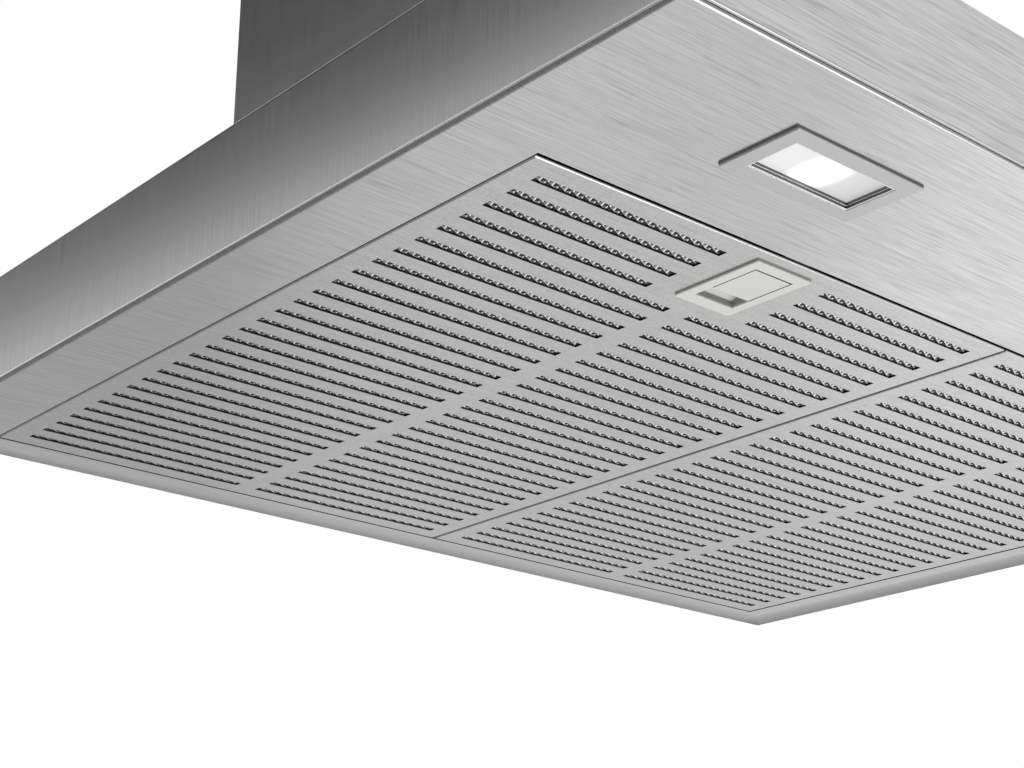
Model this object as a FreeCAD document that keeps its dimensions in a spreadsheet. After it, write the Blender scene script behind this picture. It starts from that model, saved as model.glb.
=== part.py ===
import FreeCAD, Part

import math
import os
import re

import Sketcher
from FreeCAD import Placement, Rotation, Vector

# Wall-mounted chimney range hood, 60 cm wide, in millimetres.
# X runs to the right, Y towards the wall and Z up. The origin is on the wall plane,
# at the middle of the canopy's lower rear edge.

# Driving sizes: name, number and meaning.
SIZES = [
    ("canopy_width", 600.0, "canopy, left to right"),
    ("canopy_depth", 504.0, "canopy, fascia to wall"),
    ("canopy_height", 52.0, "canopy, rim to top"),
    ("shell_wall", 1.0, "canopy shell sheet"),
    ("shell_bend", 2.0, "outer bend along the top edges of the shell"),
    ("fascia_wall", 1.2, "front fascia sheet"),
    ("fascia_return", 12.0, "folded returns behind the fascia"),
    ("fascia_edge", 0.6, "rounding of the fascia's front edges"),
    ("lower_hole_spacing", 400.0, "fixing holes in the canopy's back, apart"),
    ("lower_hole_height", 30.0, "fixing holes above the rim"),
    ("lower_hole_radius", 3.0, "fixing holes in the canopy's back"),
    ("pan_wall", 1.0, "bottom pan sheet"),
    ("pan_proud", 0.7, "pan's underside below the shell's rim"),
    ("pan_gap", 0.4, "gap between the pan and the shell"),
    ("pan_flange", 14.0, "pan's upturned edge, outside height"),
    ("pan_bend", 1.5, "pan's outer bend"),
    ("lug_length", 18.0, "weld lugs on the pan's flanges, along the side"),
    ("lug_height", 6.0, "weld lugs on the pan's flanges, upright"),
    ("lug_lift", 4.0, "weld lugs above the rim"),
    ("lug_spacing", 180.0, "weld lugs, apart"),
    ("opening_side", 35.0, "pan's border beside the filter opening"),
    ("opening_front", 99.5, "filter opening behind the fascia's front"),
    ("opening_rear", 23.8, "pan's border behind the filter opening"),
    ("filter_gap", 0.9, "gap beside and between the filters"),
    ("filter_front_gap", 2.2, "gap in front of the filters, which hides the latch tongues"),
    ("filter_rear_gap", 0.8, "gap behind the filters"),
    ("tray_wall", 0.5, "filter tray sheet"),
    ("tray_height", 10.0, "filter tray's upturned edge"),
    ("tray_bend", 1.0, "filter tray's outer bend"),
    ("slot_margin", 10.475, "metal beside the slots' outer ends"),
    ("slot_width", 4.2, "filter slots, front to rear"),
    ("slot_pitch", 12.6, "filter slot rows, apart"),
    ("slot_rear", 12.0, "least room from the last row's middle to the filter's rear"),
    ("slot_cut", 22.5, "slots beside the latch, shorter by"),
    ("short_slot_rows", 4, "rows beside the latch"),
    ("slot_column_gap", 11.2, "metal between the two slot columns"),
    ("slot_first_row", 12.05, "first row's middle behind the filter's front"),
    ("rear_tongue_width", 30.0, "rear hanging tongues, left to right"),
    ("rear_tongue_reach", 6.0, "rear hanging tongues past the tray"),
    ("rear_tongue_spacing", 170.0, "rear hanging tongues, apart"),
    ("tongue_lift", 0.4, "tongues above the pan's sheet"),
    ("mesh_thickness", 6.0, "corrugated mesh, upright"),
    ("mesh_wall", 0.8, "mesh sheet, measured upright"),
    ("mesh_pitch", 5.84, "mesh folds, apart"),
    ("mesh_gap", 0.4, "mesh inside the tray's edge"),
    ("mesh_latch_gap", 6.0, "mesh and back frame round the latch"),
    ("back_wall", 0.8, "filter back frame sheet"),
    ("back_border", 14.0, "filter back frame's border"),
    ("back_rib", 12.0, "filter back frame's cross ribs"),
    ("latch_width", 30.5, "latch bezel, left to right"),
    ("latch_length", 43.0, "latch bezel, front to rear"),
    ("latch_proud", 1.0, "latch bezel below the filter"),
    ("latch_corner", 0.6, "latch bezel's corners"),
    ("latch_edge", 0.2, "latch bezel's lower edges"),
    ("latch_front", 6.2, "latch bezel behind the filter's front"),
    ("latch_frame", 5.3, "latch bezel's front frame"),
    ("latch_opening_width", 21.1, "latch opening, left to right"),
    ("latch_opening_length", 31.2, "latch opening, front to rear"),
    ("latch_wall", 2.4, "latch body's walls"),
    ("latch_roof", 0.9, "latch body's roof"),
    ("latch_height", 10.3, "latch body above the filter's underside"),
    ("latch_fit", 0.3, "latch body in the tray's window"),
    ("scoop_length", 9.0, "finger pocket, front to rear"),
    ("scoop_shallow", 2.0, "finger pocket's depth at its rear"),
    ("scoop_deep", 5.2, "finger pocket's depth at its front"),
    ("scoop_top", 6.0, "top of the finger pocket's wall"),
    ("slider_side_gap", 0.75, "slider plate beside the opening"),
    ("slider_front_gap", 0.9, "slider plate behind the opening's front"),
    ("slider_length", 21.5, "slider plate, front to rear"),
    ("slider_drop", 0.95, "slider plate's face below the filter's underside"),
    ("slider_plate_top", 1.2, "slider plate's upper side"),
    ("slider_travel", 7.0, "slider's travel to the rear"),
    ("slide_gap", 0.3, "slider in its guides"),
    ("tongue_width", 14.0, "latch tongue, left to right"),
    ("tongue_thickness", 3.0, "latch tongue"),
    ("tongue_reach", 4.5, "latch tongue over the pan"),
    ("tongue_ramp", 1.6, "ramp under the tongue's tip"),
    ("wing_low", 1.9, "slider's guide wings, lower side"),
    ("wing_thickness", 1.5, "slider's guide wings"),
    ("groove_depth", 1.2, "guide grooves in the latch body"),
    ("spring_radius", 1.4, "latch spring's outside"),
    ("spring_lug", 4.0, "lug that the spring pushes on, front to rear"),
    ("spring_lug_width", 5.0, "lug that the spring pushes on, left to right"),
    ("lamp_inset", 117.35, "lamps' middle inside the canopy's sides"),
    ("lamp_front", 48.4, "lamps' middle behind the fascia's front"),
    ("lamp_width", 65.3, "lamp bezel, left to right"),
    ("lamp_depth", 34.4, "lamp bezel, front to rear"),
    ("lamp_proud", 1.3, "lamp bezel below the pan"),
    ("lamp_corner", 0.6, "lamp bezel's corners"),
    ("lamp_edge", 0.2, "lamp bezel's lower edges"),
    ("lamp_opening_width", 51.6, "lamp opening, left to right"),
    ("lamp_opening_depth", 21.6, "lamp opening, front to rear"),
    ("lens_recess", 2.5, "lens above the bezel's lower face"),
    ("lens_ledge", 1.2, "ledge under the lens"),
    ("lens_gap", 0.15, "lens in its seat"),
    ("lens_thickness", 2.0, "lamp lens"),
    ("lamp_collar_wall", 1.4, "lamp bezel's collar through the pan"),
    ("lamp_collar_height", 7.0, "lamp bezel's collar above the pan's underside"),
    ("lamp_fit", 0.3, "collar in the pan's window and in the housing"),
    ("housing_wall", 1.2, "lamp housing's walls"),
    ("housing_height", 16.0, "lamp housing above the pan's underside"),
    ("housing_edge", 2.0, "lamp housing's upper edges"),
    ("board_width", 44.0, "light board, left to right"),
    ("board_depth", 16.0, "light board, front to rear"),
    ("board_thickness", 1.6, "light board"),
    ("led_radius", 4.0, "light emitter"),
    ("led_height", 1.8, "light emitter below its board"),
    ("button_width", 20.0, "push buttons, left to right"),
    ("button_height", 10.0, "push buttons, upright"),
    ("button_pitch", 30.0, "push buttons, apart"),
    ("button_level", 26.0, "push buttons' middle above the rim"),
    ("button_proud", 3.0, "push buttons in front of the fascia"),
    ("button_gap", 0.4, "push buttons in the fascia's openings"),
    ("button_edge", 0.8, "push buttons' front edges"),
    ("button_flange", 1.6, "push buttons' retaining flange past the cap"),
    ("button_flange_wall", 1.2, "push buttons' retaining flange"),
    ("button_seat", 0.2, "retaining flange behind the fascia"),
    ("button_travel", 2.0, "push buttons' travel"),
    ("stem_radius", 2.5, "push buttons' stems"),
    ("stem_length", 5.0, "push buttons' stems behind the flange"),
    ("stem_gap", 0.3, "stems in the switch block, and flange before it"),
    ("switch_depth", 12.0, "switch block, front to rear"),
    ("switch_height", 20.0, "switch block, upright"),
    ("switch_margin", 8.0, "switch block past the outer buttons"),
    ("switch_ear", 4.0, "switch block's end ears"),
    ("control_width", 130.0, "control box, left to right"),
    ("control_depth", 70.0, "control box, front to rear"),
    ("control_height", 28.0, "control box, upright"),
    ("control_inset", 150.0, "control box's middle inside the canopy's right side"),
    ("control_front", 78.0, "control box behind the fascia's front"),
    ("control_edge", 3.0, "control box's upright edges"),
    ("air_box_side", 12.0, "air box inside the chimney's sides"),
    ("air_box_front", 18.0, "air box behind the chimney's front"),
    ("air_box_height", 240.0, "air box above the canopy"),
    ("air_box_wall", 1.0, "air box sheet"),
    ("air_box_ledge", 12.0, "canopy top left under the air box's edges"),
    ("foot_width", 8.0, "air box's feet past its sides"),
    ("foot_length", 150.0, "air box's feet, front to rear"),
    ("foot_wall", 1.2, "air box's feet"),
    ("hang_height", 70.0, "hanging plate above the air box"),
    ("hang_corner", 14.0, "hanging plate's upper corners"),
    ("hang_hole_spacing", 160.0, "hanging holes, apart"),
    ("hang_hole_lift", 45.0, "hanging holes above the air box"),
    ("hang_hole_radius", 4.0, "hanging holes"),
    ("screw_radius", 3.5, "screw heads"),
    ("screw_head", 2.2, "screw heads' height"),
    ("screw_spacing", 110.0, "air box screws, front to rear"),
    ("scroll_radius", 80.0, "scroll's first radius, inside"),
    ("scroll_growth", 12.0, "scroll's growth in each quarter turn"),
    ("scroll_width", 110.0, "scroll, inside, left to right"),
    ("scroll_wall", 2.0, "scroll casing's walls"),
    ("scroll_front_gap", 4.0, "scroll behind the air box's front"),
    ("scroll_lift", 12.0, "scroll above the canopy's top"),
    ("throat_front", 20.0, "scroll's cut-off behind the shaft"),
    ("inlet_radius", 60.0, "scroll's round inlets"),
    ("wheel_radius", 72.0, "impeller, outside"),
    ("wheel_inner", 58.0, "impeller blades, inside"),
    ("wheel_width", 100.0, "impeller, left to right"),
    ("wheel_disc", 3.0, "impeller's middle disc"),
    ("wheel_ring", 3.0, "impeller's end rings"),
    ("blade_count", 30, "impeller blades"),
    ("blade_wall", 1.2, "impeller blades"),
    ("blade_lean", 9.0, "forward lean of the blades' tips, degrees"),
    ("hub_radius", 11.0, "impeller's hub"),
    ("hub_left", 14.0, "impeller's hub left of the middle"),
    ("hub_right", 5.0, "impeller's hub right of the middle"),
    ("shaft_radius", 4.0, "motor shaft"),
    ("shaft_fit", 0.02, "shaft in the impeller's hub"),
    ("bearing_gap", 0.05, "shaft in the motor's bearing"),
    ("shaft_depth", 34.0, "shaft inside the motor"),
    ("motor_radius", 42.0, "motor"),
    ("motor_gap", 3.0, "motor right of the impeller's hub"),
    ("bell_radius", 36.0, "motor's end bells"),
    ("bell_height", 4.0, "motor's end bells"),
    ("spider_radius", 30.0, "motor bracket's plate"),
    ("spider_arm", 14.0, "motor bracket's arms"),
    ("spider_reach", 12.0, "motor bracket's arms past the inlet"),
    ("spider_wall", 3.0, "motor bracket"),
    ("capacitor_radius", 16.0, "run capacitor"),
    ("capacitor_length", 60.0, "run capacitor"),
    ("capacitor_foot", 3.0, "run capacitor's foot"),
    ("capacitor_front", 40.0, "run capacitor behind the air box's front"),
    ("collar_radius", 75.0, "duct collar, outside"),
    ("collar_wall", 2.0, "duct collar"),
    ("collar_height", 48.0, "duct collar above the air box"),
    ("collar_flange", 9.0, "duct collar's flange past the collar"),
    ("collar_flange_wall", 2.0, "duct collar's flange"),
    ("collar_ledge", 3.0, "ledge under the flaps"),
    ("collar_ledge_wall", 1.6, "ledge under the flaps, upright"),
    ("flap_level", 24.0, "flaps above the air box"),
    ("flap_wall", 1.2, "backdraft flaps"),
    ("flap_rim_gap", 1.2, "flaps inside the collar"),
    ("flap_rest_gap", 0.3, "flaps above the ledge"),
    ("rod_offset", 4.2, "flap rods beside the collar's middle"),
    ("rod_radius", 1.5, "flap rods"),
    ("rod_gap", 0.1, "flaps on their rods"),
    ("rod_fit", 0.03, "rods in the collar"),
    ("knuckle_radius", 3.0, "flaps' hinge tubes"),
    ("knuckle_length", 132.0, "flaps' hinge tubes"),
    ("gland_neck", 6.0, "cable gland's neck"),
    ("gland_fit", 0.2, "cable gland in the air box"),
    ("gland_head", 9.0, "cable gland's head"),
    ("gland_bore", 3.5, "cable gland's bore"),
    ("gland_top", 9.0, "cable gland above the air box"),
    ("gland_bottom", 8.0, "cable gland below the air box's top"),
    ("gland_side", 90.0, "cable gland right of the middle"),
    ("gland_front", 36.0, "cable gland behind the air box's front"),
    ("chimney_width", 260.0, "lower chimney, left to right"),
    ("chimney_depth", 260.0, "lower chimney, front to wall"),
    ("chimney_wall", 0.8, "chimney sheet"),
    ("chimney_return", 8.0, "chimney's folded rear edges"),
    ("chimney_bend", 2.0, "chimney's outer bends"),
    ("chimney_lower_height", 440.0, "lower chimney"),
    ("chimney_gap", 0.4, "upper chimney inside the lower"),
    ("chimney_upper_height", 430.0, "upper chimney"),
    ("chimney_rise", 148.0, "upper chimney above the lower at rest"),
    ("vent_count", 7, "vent slots in each side of the upper chimney"),
    ("vent_width", 4.0, "vent slots, front to rear"),
    ("vent_length", 60.0, "vent slots, upright"),
    ("vent_pitch", 11.0, "vent slots, apart"),
    ("vent_drop", 45.0, "vent slots below the upper chimney's top"),
    ("bracket_side", 18.0, "ceiling bracket's wall plate inside the chimney's sides"),
    ("bracket_wall", 1.5, "ceiling bracket"),
    ("bracket_height", 22.0, "ceiling bracket, upright"),
    ("bracket_drop", 8.0, "ceiling bracket below the upper chimney's top"),
    ("bracket_jog", 1.0, "ceiling bracket before the folded rear edges"),
    ("bracket_tab", 28.0, "ceiling bracket's side tabs"),
    ("bracket_hole_spacing", 160.0, "ceiling bracket's holes, apart"),
    ("bracket_hole_radius", 3.0, "ceiling bracket's holes"),
]
ALIASES = {alias for alias, number, meaning in SIZES}

# Formulas that several pieces share.
UNDERSIDE = "-pan_proud"
FASCIA_BACK = "(fascia_wall - canopy_depth)"
FILTER_WIDTH = "((opening_width - 3 * filter_gap) / 2)"
FILTER_DEPTH = "(opening_depth - filter_front_gap - filter_rear_gap)"
LATCH_OPEN = "(latch_front + latch_frame)"
LATCH_REAR = "(latch_front + latch_frame + latch_opening_length)"
SLIDER_FRONT = "(latch_front + latch_frame + slider_front_gap)"
SLIDER_BLOCK_REAR = f"({LATCH_REAR} - scoop_length - slider_travel - slide_gap)"
LATCH_ROOM_X = "(latch_opening_width / 2 + latch_wall + mesh_latch_gap)"
LATCH_ROOM_REAR = f"({LATCH_REAR} + latch_wall + mesh_latch_gap)"
TONGUE_LOW = "(pan_wall + tongue_lift)"
TONGUE_HIGH = "(pan_wall + tongue_lift + tongue_thickness)"
LENS_LOW = "(lens_recess - lamp_proud)"
LAMP_COLLAR_X = "(lamp_opening_width / 2 + lens_ledge + lamp_collar_wall)"
LAMP_COLLAR_Y = "(lamp_opening_depth / 2 + lens_ledge + lamp_collar_wall)"
AIR_BOX_TOP = "(canopy_height + air_box_height)"
AIR_BOX_ROOF = "(canopy_height + air_box_height - air_box_wall)"
FAN_Y = "(air_box_wall + scroll_front_gap + scroll_wall + scroll_radius - air_box_depth)"
FAN_Z = "(canopy_height + scroll_lift + scroll_wall + scroll_radius + scroll_growth)"
THROAT_REAR = "(scroll_radius + 3 * scroll_growth)"
COLLAR_Y = f"({FAN_Y} + (throat_front + {THROAT_REAR}) / 2)"
SCROLL_SIDE = "(scroll_width / 2 + scroll_wall)"
MOTOR_LEFT = "(hub_right + motor_gap)"
COLLAR_BORE = "(collar_radius - collar_wall)"
FLAP_Z = f"({AIR_BOX_TOP} + flap_level)"
UPPER_INSET = "(chimney_wall + chimney_gap)"
UPPER_TOP = "(canopy_height + chimney_lower_height + chimney_rise)"

# Sizes that follow from the driving ones.
DERIVED = {
    "opening_width": "(canopy_width - 2 * opening_side)",
    "opening_depth": "(canopy_depth - opening_front - opening_rear)",
    "slot_length": f"(({FILTER_WIDTH} - slot_column_gap) / 2 - slot_margin)",
    "short_slot_length": "(slot_length - slot_cut)",
    "slot_rows": f"(floor(({FILTER_DEPTH} - slot_first_row - slot_rear) / slot_pitch) + 1)",
    "lamp_spacing": "(canopy_width - 2 * lamp_inset)",
    "control_offset": "(canopy_width / 2 - control_inset)",
    "air_box_width": "(chimney_width - 2 * air_box_side)",
    "air_box_depth": "(chimney_depth - air_box_front)",
    "bracket_width": "(chimney_width - 2 * bracket_side)",
}

doc = FreeCAD.newDocument("range_hood")
sheet = doc.addObject("Spreadsheet::Sheet", "sizes")
for row, (alias, number, meaning) in enumerate(SIZES, start=1):
    sheet.set(f"A{row}", meaning)
    sheet.set(f"B{row}", str(number))
    sheet.setAlias(f"B{row}", alias)
doc.recompute()

nodes = []


def formula(text):
    """Turn a formula in size names into an expression on the sheet."""
    return re.sub(r"[a-z_]+", lambda word: sized(word.group(0)), text)


def sized(word):
    """Point a size name at its cell, open a derived name, and leave any other word alone."""
    if word in DERIVED:
        return formula(DERIVED[word])
    return f"sizes.{word}" if word in ALIASES else word


def value(text):
    """Evaluate a formula in size names to a plain number."""
    return float(sheet.evalExpression(formula(text)))


def place(thing, point):
    """Bind a thing's position to three formulas."""
    for axis, text in zip("xyz", point):
        thing.setExpression(f"Placement.Base.{axis}", formula(text))


def keep(thing, label):
    """Name a finished piece and list it for writing."""
    thing.Label = label
    nodes.append(thing)
    return thing


def new_body(name, point=("0", "0", "0")):
    """Start a body whose own origin lies at the given point."""
    body = doc.addObject("PartDesign::Body", f"{name}_body")
    place(body, point)
    return body


def origin_part(body, role):
    """Find one of a body's own origin planes or axes."""
    return [part for part in body.Origin.OriginFeatures if part.Role == role][0]


def new_sketch(body, plane, offset="0"):
    """Start a sketch on one of the body's origin planes, moved along its normal."""
    sketch = body.newObject("Sketcher::SketchObject", f"{body.Name}_sketch")
    sketch.AttachmentSupport = [(origin_part(body, f"{plane}_Plane"), "")]
    sketch.MapMode = "FlatFace"
    sketch.setExpression("AttachmentOffset.Base.z", formula(offset))
    return sketch


def draw_outline(sketch, points):
    """Draw a closed outline whose corners are bound to formulas."""
    count = len(points)
    first = sketch.GeometryCount
    corners = [Vector(value(x), value(y), 0) for x, y in points]
    sketch.addGeometry(
        [Part.LineSegment(corners[i], corners[(i + 1) % count]) for i in range(count)]
    )
    ties = [
        Sketcher.Constraint("Coincident", first + i, 2, first + (i + 1) % count, 1)
        for i in range(count)
    ]
    bound = sketch.ConstraintCount + count
    for i, corner in enumerate(corners):
        ties.append(Sketcher.Constraint("DistanceX", -1, 1, first + i, 1, corner.x))
        ties.append(Sketcher.Constraint("DistanceY", -1, 1, first + i, 1, corner.y))
    sketch.addConstraint(ties)
    for i, (x, y) in enumerate(points):
        sketch.setExpression(f"Constraints[{bound + 2 * i}]", formula(x))
        sketch.setExpression(f"Constraints[{bound + 2 * i + 1}]", formula(y))


def draw_rectangle(sketch, xs, ys):
    """Draw a rectangle between two formulas each way."""
    draw_outline(sketch, [(xs[0], ys[0]), (xs[1], ys[0]), (xs[1], ys[1]), (xs[0], ys[1])])


def draw_circle(sketch, centre, radius):
    """Draw a circle whose middle and radius are bound to formulas."""
    first = sketch.GeometryCount
    middle = Vector(value(centre[0]), value(centre[1]), 0)
    sketch.addGeometry(Part.Circle(middle, Vector(0, 0, 1), value(radius)))
    bound = sketch.ConstraintCount
    sketch.addConstraint(
        [
            Sketcher.Constraint("DistanceX", -1, 1, first, 3, middle.x),
            Sketcher.Constraint("DistanceY", -1, 1, first, 3, middle.y),
            Sketcher.Constraint("Radius", first, value(radius)),
        ]
    )
    for i, text in enumerate((centre[0], centre[1], radius)):
        sketch.setExpression(f"Constraints[{bound + i}]", formula(text))


def pad(body, sketch, length, reverse=False, both=False):
    """Add a sketch's outline to the body."""
    feature = body.newObject("PartDesign::Pad", f"{body.Name}_pad")
    feature.Profile = sketch
    feature.setExpression("Length", formula(length))
    feature.Reversed = reverse
    feature.Midplane = both
    return feature


def pocket(body, sketch, length, reverse=False, both=False):
    """Cut a sketch's outline out of the body, and make sure that it cuts."""
    doc.recompute()
    before = body.Shape.Volume
    feature = body.newObject("PartDesign::Pocket", f"{body.Name}_pocket")
    feature.Profile = sketch
    feature.setExpression("Length", formula(length))
    feature.Reversed = reverse
    feature.Midplane = both
    doc.recompute()
    if body.Shape.Volume > before - 1e-6:
        raise RuntimeError(f"{feature.Name} cuts nothing")
    return feature


def add_bar(body, xs, ys, zs):
    """Add an upright bar between two formulas each way."""
    sketch = new_sketch(body, "XY", zs[0])
    draw_rectangle(sketch, xs, ys)
    return pad(body, sketch, f"({zs[1]}) - ({zs[0]})")


def cut_bar(body, xs, ys, zs):
    """Cut an upright bar between two formulas each way."""
    sketch = new_sketch(body, "XY", zs[0])
    draw_rectangle(sketch, xs, ys)
    return pocket(body, sketch, f"({zs[1]}) - ({zs[0]})", reverse=True)


def both_sides(text):
    """Give a half width as the two formulas either side of the middle."""
    return (f"-({text})", f"({text})")


def find_edges(body, test):
    """Name the edges of the body so far whose bounding box passes a test."""
    doc.recompute()
    edges = enumerate(body.Tip.Shape.Edges, start=1)
    return (body.Tip, [f"Edge{number}" for number, edge in edges if test(edge.BoundBox)])


def round_edges(body, test, radius):
    """Round the body's edges whose bounding box passes a test."""
    edges = find_edges(body, test)
    feature = body.newObject("PartDesign::Fillet", f"{body.Name}_round")
    feature.Base = edges
    feature.setExpression("Radius", formula(radius))
    doc.recompute()


def bevel_edges(body, test, size):
    """Bevel the body's edges whose bounding box passes a test."""
    edges = find_edges(body, test)
    feature = body.newObject("PartDesign::Chamfer", f"{body.Name}_bevel")
    feature.Base = edges
    feature.setExpression("Size", formula(size))
    doc.recompute()


def near(number, text):
    """Tell whether a number equals a formula's value."""
    return abs(number - value(text)) < 1e-4


def upright(box):
    """Tell whether an edge's bounding box stands upright."""
    return box.XLength < 1e-4 and box.YLength < 1e-4


def level(box, text):
    """Tell whether an edge's bounding box lies flat at a height."""
    return near(box.ZMin, text) and near(box.ZMax, text)


def repeat_along(body, feature, axis, length, count):
    """Repeat a feature evenly along one of the body's axes."""
    pattern = body.newObject("PartDesign::LinearPattern", f"{body.Name}_row")
    pattern.Originals = [feature]
    pattern.Direction = (origin_part(body, f"{axis}_Axis"), [""])
    pattern.setExpression("Length", formula(length))
    pattern.setExpression("Occurrences", formula(count))
    body.Tip = pattern
    doc.recompute()
    return pattern


def repeat_round(body, feature, axis, count):
    """Repeat a feature evenly round one of the body's axes."""
    pattern = body.newObject("PartDesign::PolarPattern", f"{body.Name}_ring")
    pattern.Originals = [feature]
    pattern.Axis = (origin_part(body, f"{axis}_Axis"), [""])
    pattern.Angle = 360
    pattern.setExpression("Occurrences", formula(count))
    body.Tip = pattern
    doc.recompute()
    return pattern


def revolve(body, plane, axis, points):
    """Turn an outline round one of the body's axes."""
    sketch = new_sketch(body, plane)
    draw_outline(sketch, points)
    feature = body.newObject("PartDesign::Revolution", f"{body.Name}_turned")
    feature.Profile = sketch
    feature.ReferenceAxis = (origin_part(body, f"{axis}_Axis"), [""])
    feature.Angle = 360
    return feature


def new_box(name, xs, ys, zs):
    """Make a block between two formulas each way."""
    box = doc.addObject("Part::Box", name)
    place(box, (xs[0], ys[0], zs[0]))
    for prop, (low, high) in zip(("Length", "Width", "Height"), (xs, ys, zs)):
        box.setExpression(prop, formula(f"({high}) - ({low})"))
    return box


TURNS = {
    "x": Rotation(Vector(0, 1, 0), 90),
    "y": Rotation(Vector(1, 0, 0), -90),
    "z": Rotation(),
}


def new_rod(name, axis, start, radius, length):
    """Make a round rod from its start along an axis."""
    rod = doc.addObject("Part::Cylinder", name)
    rod.Placement = Placement(Vector(), TURNS[axis])
    place(rod, start)
    rod.setExpression("Radius", formula(radius))
    rod.setExpression("Height", formula(length))
    return rod


def fuse(name, things):
    """Join things into one solid."""
    joined = doc.addObject("Part::MultiFuse", name)
    joined.Shapes = things
    joined.Refine = True
    return joined


def cut(name, base, tools):
    """Cut tools out of a thing."""
    tool = tools[0] if len(tools) == 1 else fuse(f"{name}_tools", tools)
    result = doc.addObject("Part::Cut", name)
    result.Base = base
    result.Tool = tool
    result.Refine = True
    return result


def group(name, things):
    """Keep separate solids together as one piece."""
    compound = doc.addObject("Part::Compound", name)
    compound.Links = things
    return compound


def make_canopy_shell():
    """Fold the canopy's top, sides and back, open below and in front."""
    body = new_body("canopy_shell")
    half = "canopy_width / 2"
    add_bar(body, both_sides(half), (FASCIA_BACK, "0"), ("0", "canopy_height"))
    round_edges(
        body,
        lambda box: level(box, "canopy_height") and box.XLength < 1e-4,
        "shell_bend",
    )
    cut_bar(
        body,
        both_sides(f"{half} - shell_wall"),
        (f"{FASCIA_BACK} - shell_wall", "-shell_wall"),
        ("0", "canopy_height - shell_wall"),
    )
    cut_bar(
        body,
        both_sides("air_box_width / 2 - air_box_ledge"),
        ("air_box_ledge - air_box_depth", "-air_box_ledge"),
        ("canopy_height - 2 * shell_wall", "canopy_height + shell_wall"),
    )
    holes = new_sketch(body, "XZ")
    for side in ("-", ""):
        draw_circle(
            holes,
            (f"{side}lower_hole_spacing / 2", "lower_hole_height"),
            "lower_hole_radius",
        )
    pocket(body, holes, "2 * shell_wall", both=True)
    keep(body, "canopy_shell")


def make_front_fascia():
    """Fold the front fascia, with its returns and the button openings."""
    body = new_body("front_fascia")
    front = "-canopy_depth"
    inside = "canopy_width / 2 - shell_wall"
    roof = "canopy_height - shell_wall"
    add_bar(body, both_sides("canopy_width / 2"), (front, FASCIA_BACK), ("0", "canopy_height"))
    round_edges(
        body,
        lambda box: near(box.YMin, front) and near(box.YMax, front),
        "fascia_edge",
    )
    returns = (FASCIA_BACK, f"{FASCIA_BACK} + fascia_return")
    add_bar(body, both_sides(inside), returns, (f"{roof} - fascia_wall", roof))
    for side in ("-", ""):
        add_bar(
            body,
            (f"{side}({inside})", f"{side}({inside} - fascia_wall)"),
            returns,
            ("pan_flange + pan_gap", f"{roof} - fascia_wall"),
        )
    openings = new_sketch(body, "XZ", "canopy_depth")
    for place_number in range(-2, 3):
        middle = f"{place_number} * button_pitch"
        half = "button_width / 2 + button_gap"
        draw_rectangle(
            openings,
            (f"{middle} - ({half})", f"{middle} + {half}"),
            (
                "button_level - button_height / 2 - button_gap",
                "button_level + button_height / 2 + button_gap",
            ),
        )
    pocket(body, openings, "2 * fascia_wall")
    keep(body, "front_fascia")


def make_bottom_pan():
    """Draw the pan with its upturned flanges, filter opening and lamp windows."""
    body = new_body("bottom_pan")
    half = "canopy_width / 2 - shell_wall - pan_gap"
    front = f"{FASCIA_BACK} + pan_gap"
    rear = "-shell_wall"
    top = "pan_flange - pan_proud"
    add_bar(body, both_sides(half), (front, rear), (UNDERSIDE, top))
    round_edges(body, lambda box: level(box, UNDERSIDE), "pan_bend")
    cut_bar(
        body,
        both_sides(f"{half} - pan_wall"),
        (f"{front} + pan_wall", f"{rear} - pan_wall"),
        ("pan_wall - pan_proud", top),
    )
    floor = ("-pan_proud", "pan_wall - pan_proud")
    opening = "opening_front - canopy_depth"
    cut_bar(body, both_sides("opening_width / 2"), (opening, f"{opening} + opening_depth"), floor)
    for side in ("-", ""):
        middle = f"{side}lamp_spacing / 2"
        across = f"{LAMP_COLLAR_X} + lamp_fit"
        along = f"{LAMP_COLLAR_Y} + lamp_fit"
        lamp = "lamp_front - canopy_depth"
        cut_bar(
            body,
            (f"{middle} - ({across})", f"{middle} + {across}"),
            (f"{lamp} - ({along})", f"{lamp} + {along}"),
            floor,
        )
    for side in ("-", ""):
        for number in (-1, 0, 1):
            middle = f"-canopy_depth / 2 + {number} * lug_spacing"
            add_bar(
                body,
                (f"{side}({half})", f"{side}(canopy_width / 2 - shell_wall)"),
                (f"{middle} - lug_length / 2", f"{middle} + lug_length / 2"),
                ("lug_lift", "lug_lift + lug_height"),
            )
    keep(body, "bottom_pan")


def make_filter(side, sign):
    """Build one grease filter: tray, mesh, back frame, latch, slider and spring."""
    corner = (
        f"{sign}(filter_gap / 2 + {FILTER_WIDTH} / 2)",
        "opening_front + filter_front_gap - canopy_depth",
        UNDERSIDE,
    )
    make_filter_tray(f"filter_tray_{side}", corner)
    make_filter_mesh(f"filter_mesh_{side}", corner)
    make_filter_back(f"filter_back_{side}", corner)
    make_latch_bezel(f"latch_bezel_{side}", corner)
    make_latch_slider(f"latch_slider_{side}", corner)
    make_latch_spring(f"latch_spring_{side}", corner)


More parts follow.
